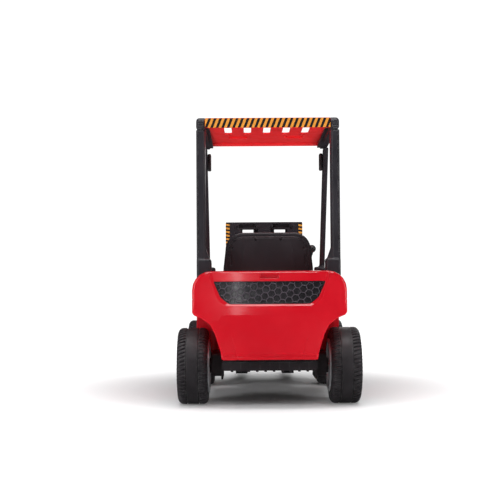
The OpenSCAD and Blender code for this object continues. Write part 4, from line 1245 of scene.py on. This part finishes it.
def build_tub_ribs():
    back = -562.2
    ribs = [((x - 1.5, back, 121), (x + 1.5, -560.5, 146)) for x in range(-120, 121, 30)]
    ribs.append(((-132, -564.4, 143), (132, -561.0, 147)))
    ribs += [((x - 4, back, 114.5), (x + 4, -540.0, 119)) for x in range(-117, 118, 26)]
    piece("tub_ribs", boxes_mesh("tub_ribs", ribs), "chassis_black", body="chassis",
          slot="black_plastic", bevel=0.0007)
def build_bolts():
    back, front, up = (0, -1, 0), (0, 1, 0), (0, 0, 1)
    posts = [((sign * (POST_OUT - 2.2), -465, 452), (sign, 0, 0)) for sign in (-1, 1)]
    cover = [((sign * u, cover_face(u, v) + 3.8, v), (0, -1, 0.04))
             for sign in (-1, 1) for u, v in COVER_SCREWS]
    rails = [((sign * (POST_OUT - 14), y, GUARD_H + 0.05), up) for sign in (-1, 1) for y in (-440, -130)]
    mast = [((sign * x, 261.8, z), back) for sign in (-1, 1) for x in (107, 30) for z in (60, 606)]
    rack = [((sign * x, 330.8, z), front) for sign in (-1, 1) for x in (132, 142) for z in (70, 186)]
    for name, places, radius, height, material, bevel, nodes, body in (
        ("body_screw_heads", posts, 5.0, 3.0, "steel", 0.0003, ("body_screws",), None),
        ("cover_screw_heads", cover, 2.2, 1.8, "chassis_black", 0.0002, (), "chassis"),
        ("rail_screw_heads", rails, 3.6, 2.6, "steel", 0.0002, (), "chassis"),
        ("mast_bolts", mast, 4.2, 3.6, "panel_black", 0.0002, (), "chassis"),
        ("carriage_bolts", rack, 3.6, 3.2, "steel", 0.0002, (), "carriage"),
    ):
        mesh = bolts_mesh(name, places, radius, height)
        piece(name, mesh, material, *nodes, body=body, slot=None if nodes else "steel", bevel=bevel)


def build_controls():
    tilt = Matrix.Rotation(LEVER_LEAN, 4, "Y")
    pivot = Matrix.Translation(Vector(LEVER_FOOT) * MM)
    knob = [(0, 0), (6.0, 0), (6.5, 6), (6.2, 8)]
    knob += [(14 * math.cos(t), 21 + 14 * math.sin(t)) for t in np.radians(range(-60, 91, 10))]
    rod_profile = [(0, 10), (5, 10), (5, 197), (0, 197)]
    turned("lever_rod", rod_profile, "steel", pivot @ tilt, "lift_lever", ("lift_lever",), bevel=0.0004)
    turned("lever_knob", knob, "lamp_dark", pivot @ tilt @ Matrix.Translation((0, 0, 190 * MM)),
           "lift_lever", (), "black_plastic")
    bellows = [(13.5, 20.2)]
    for k in range(5):
        bellows += [(13.0 - k * 1.5, 24 + k * 5.2), (10.6 - k * 1.3, 26.6 + k * 5.2)]
    bellows += [(5.6, 50), (5.1, 50), (5.1, 44), (9.0, 28), (11.5, 20.2)]
    boot = lathe_mesh("lever_boot", bellows, 40)
    boot.transform(pivot)
    shade_smooth(boot)
    made = added("lever_boot", boot)
    boot.materials.append(MATERIALS["rubber"])
    shear = math.tan(LEVER_LEAN)
    for v in boot.vertices:
        rise = max(0.0, v.co.z - 0.322)
        v.co.x += rise * shear + 0.022 * shear * min(1.0, rise / 0.006)
    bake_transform(made)


def build_dash():
    place = Matrix.Translation(Vector((0, *column_point(0, 0))) * MM)
    place = place @ Matrix.Rotation(COLUMN_TILT, 4, "X")
    ring = [(11.2, 2.1), (15, 2.1), (15.2, 3.4), (14.0, 4.8), (12.4, 5.0), (11.3, 4.0), (11.2, 2.1)]
    turned("power_bezel", ring, "lamp_ring",
           place @ Matrix.Translation(Vector((62, 0, DASH_S)) * MM), "chassis", (), "black_plastic")
    low, high = DASH_S + 2.1, DASH_S + 4.6
    bars = boxes_mesh("rocker_frame", [
        ((-81, -17, low), (-78.2, 17, high)), ((-45.8, -17, low), (-43, 17, high)),
        ((-81, 14.2, low), (-43, 17, high)), ((-81, -17, low), (-43, -14.2, high))])
    bars.transform(place)
    piece("rocker_frame", bars, "panel_black", body="chassis", slot="black_plastic", bevel=0.0006)


PAINTED = {"chassis_tub": "chassis_black", "gearbox_left": "chassis_black",
           "gearbox_right": "chassis_black", "front_axle_beam": "chassis_black",
           "dash_panel": "panel_black", "mast_stripes": "stripe_bars", "roof_stripe": "stripe"}
ROUNDED = {0.0002: ("mast_stripes", "roof_stripe"),
           0.0010: ("gearbox_left", "gearbox_right", "pedal", "front_axle_beam"),
           0.0012: ("mast_rails", "mast_crossbeams", "dash_panel", "horn_pad", "carriage_plate"),
           0.0015: ("chassis_tub", "fork_left", "fork_right"),
           0.0018: ("load_backrest",),
           0.0020: ("lever_console",)}


def dress_rest():
    """Finishes every node that no piece stands for."""
    bevel_of = {node: width for width, nodes in ROUNDED.items() for node in nodes}
    for node in sorted(n for n, made in NODES.items() if not made.hide_render):
        dress(node, PAINTED.get(node), bevel_of.get(node, 0.0005))


# ---- stage

def build_stage():
    reach = 3000.0
    profile = [(reach, -20.0), (reach, 0.0), (reach / 2, 0.0), (0, 0.0)]
    floor_mesh = lathe_mesh("floor", profile, 96)
    floor = added("floor", floor_mesh)
    n = Nodes("floor_paper")
    n.put(n.bsdf.inputs["Base Color"], n.mix(n.noise(3.0), (0.86, 0.86, 0.865), (0.89, 0.89, 0.89)))
    n.bsdf.inputs["Roughness"].default_value = 0.7
    n.bsdf.inputs["Specular IOR Level"].default_value = 0.2
    away = n.add("VectorMath", operation="LENGTH")
    n.put(away.inputs[0], n.where)
    n.bsdf.inputs["Emission Color"].default_value = (1, 1, 1, 1)
    n.put(n.bsdf.inputs["Emission Strength"], n.spread(away.outputs["Value"], 0.3, 1.15, 0.0, 0.8))
    floor_mesh.materials.append(n.material)
    floor.visible_glossy = False

    world = bpy.data.worlds.new("studio")
    bpy.context.scene.world = world
    world.use_nodes = True
    tree = world.node_tree
    background = tree.nodes["Background"]
    background.inputs["Color"].default_value = (1, 1, 1, 1)
    rays = tree.nodes.new("ShaderNodeLightPath")
    level = None
    for ray, amount in (("Is Camera Ray", 0.88), ("Is Glossy Ray", -0.17)):
        step = tree.nodes.new("ShaderNodeMath")
        step.operation = "MULTIPLY_ADD"
        tree.links.new(rays.outputs[ray], step.inputs[0])
        step.inputs[1].default_value = amount
        if level is None:
            step.inputs[2].default_value = 0.22
        else:
            tree.links.new(level, step.inputs[2])
        level = step.outputs[0]
    tree.links.new(level, background.inputs["Strength"])

    target = Vector((0, -0.2, 0.55))      # all lights face it
    for name, place, size, power, tint in (
        ("top", (0.0, -1.0, 2.7), (2.6, 0.7), 34, (1.0, 0.99, 1.0)),
        ("over", (0.0, 0.2, 3.0), (2.4, 2.0), 12, (1.0, 0.99, 1.0)),
        ("left", (-2.5, -1.7, 1.2), (0.8, 2.2), 15, (0.97, 0.97, 1.0)),
        ("right", (2.6, -1.5, 1.2), (0.6, 2.0), 9, (1.0, 0.98, 0.98)),
        ("rear", (-0.2, -3.0, 2.75), (2.4, 0.35), 15, (1.0, 0.99, 1.0)),
        ("front", (1.2, 3.2, 2.0), (2.4, 1.8), 20, (1.0, 1.0, 1.0)),
        ("streak", (-0.15, -5.0, 0.40), (0.07, 0.6), 0.9, (1.0, 0.97, 1.0)),
        ("low_left", (-1.2, -0.9, 0.04), (0.3, 1.2), 10, (1.0, 0.98, 0.98)),
        ("low_right", (1.2, -0.9, 0.04), (0.3, 1.2), 10, (1.0, 0.98, 0.98)),
    ):
        light = bpy.data.lights.new(name, "AREA")
        light.shape = "RECTANGLE"
        light.size, light.size_y = size
        light.energy = power
        light.color = tint
        lamp = added("light_" + name, light)
        lamp.location = place
        lamp.rotation_euler = (target - Vector(place)).to_track_quat("-Z", "Y").to_euler()
        lamp.visible_camera = False
        lamp.visible_glossy = not name.startswith("low")


def build_camera():
    yaw, pitch, roll = (math.radians(a) for a in (-0.18, 1.773, -0.374))
    data = bpy.data.cameras.new("camera")
    data.sensor_width = 36.0
    data.lens = 67.01
    camera = added("camera", data)
    camera.matrix_world = (
        Matrix.Translation((-0.0681, -3.441, 0.4016)) @ Matrix.Rotation(yaw, 4, "Z")
        @ Matrix.Rotation(math.pi / 2 + pitch, 4, "X") @ Matrix.Rotation(roll, 4, "Z"))
    bpy.context.scene.camera = camera


build_camera()
build_stage()
build_rear_shell()
build_grille()
build_front_cowl()
build_roof()
build_seat()
build_seat_cover()
build_guard()
build_wheels()
build_steering()
build_lamps()
build_tub_ribs()
build_bolts()
build_controls()
build_dash()
dress_rest()
bpy.context.scene.view_settings.view_transform = "Standard"
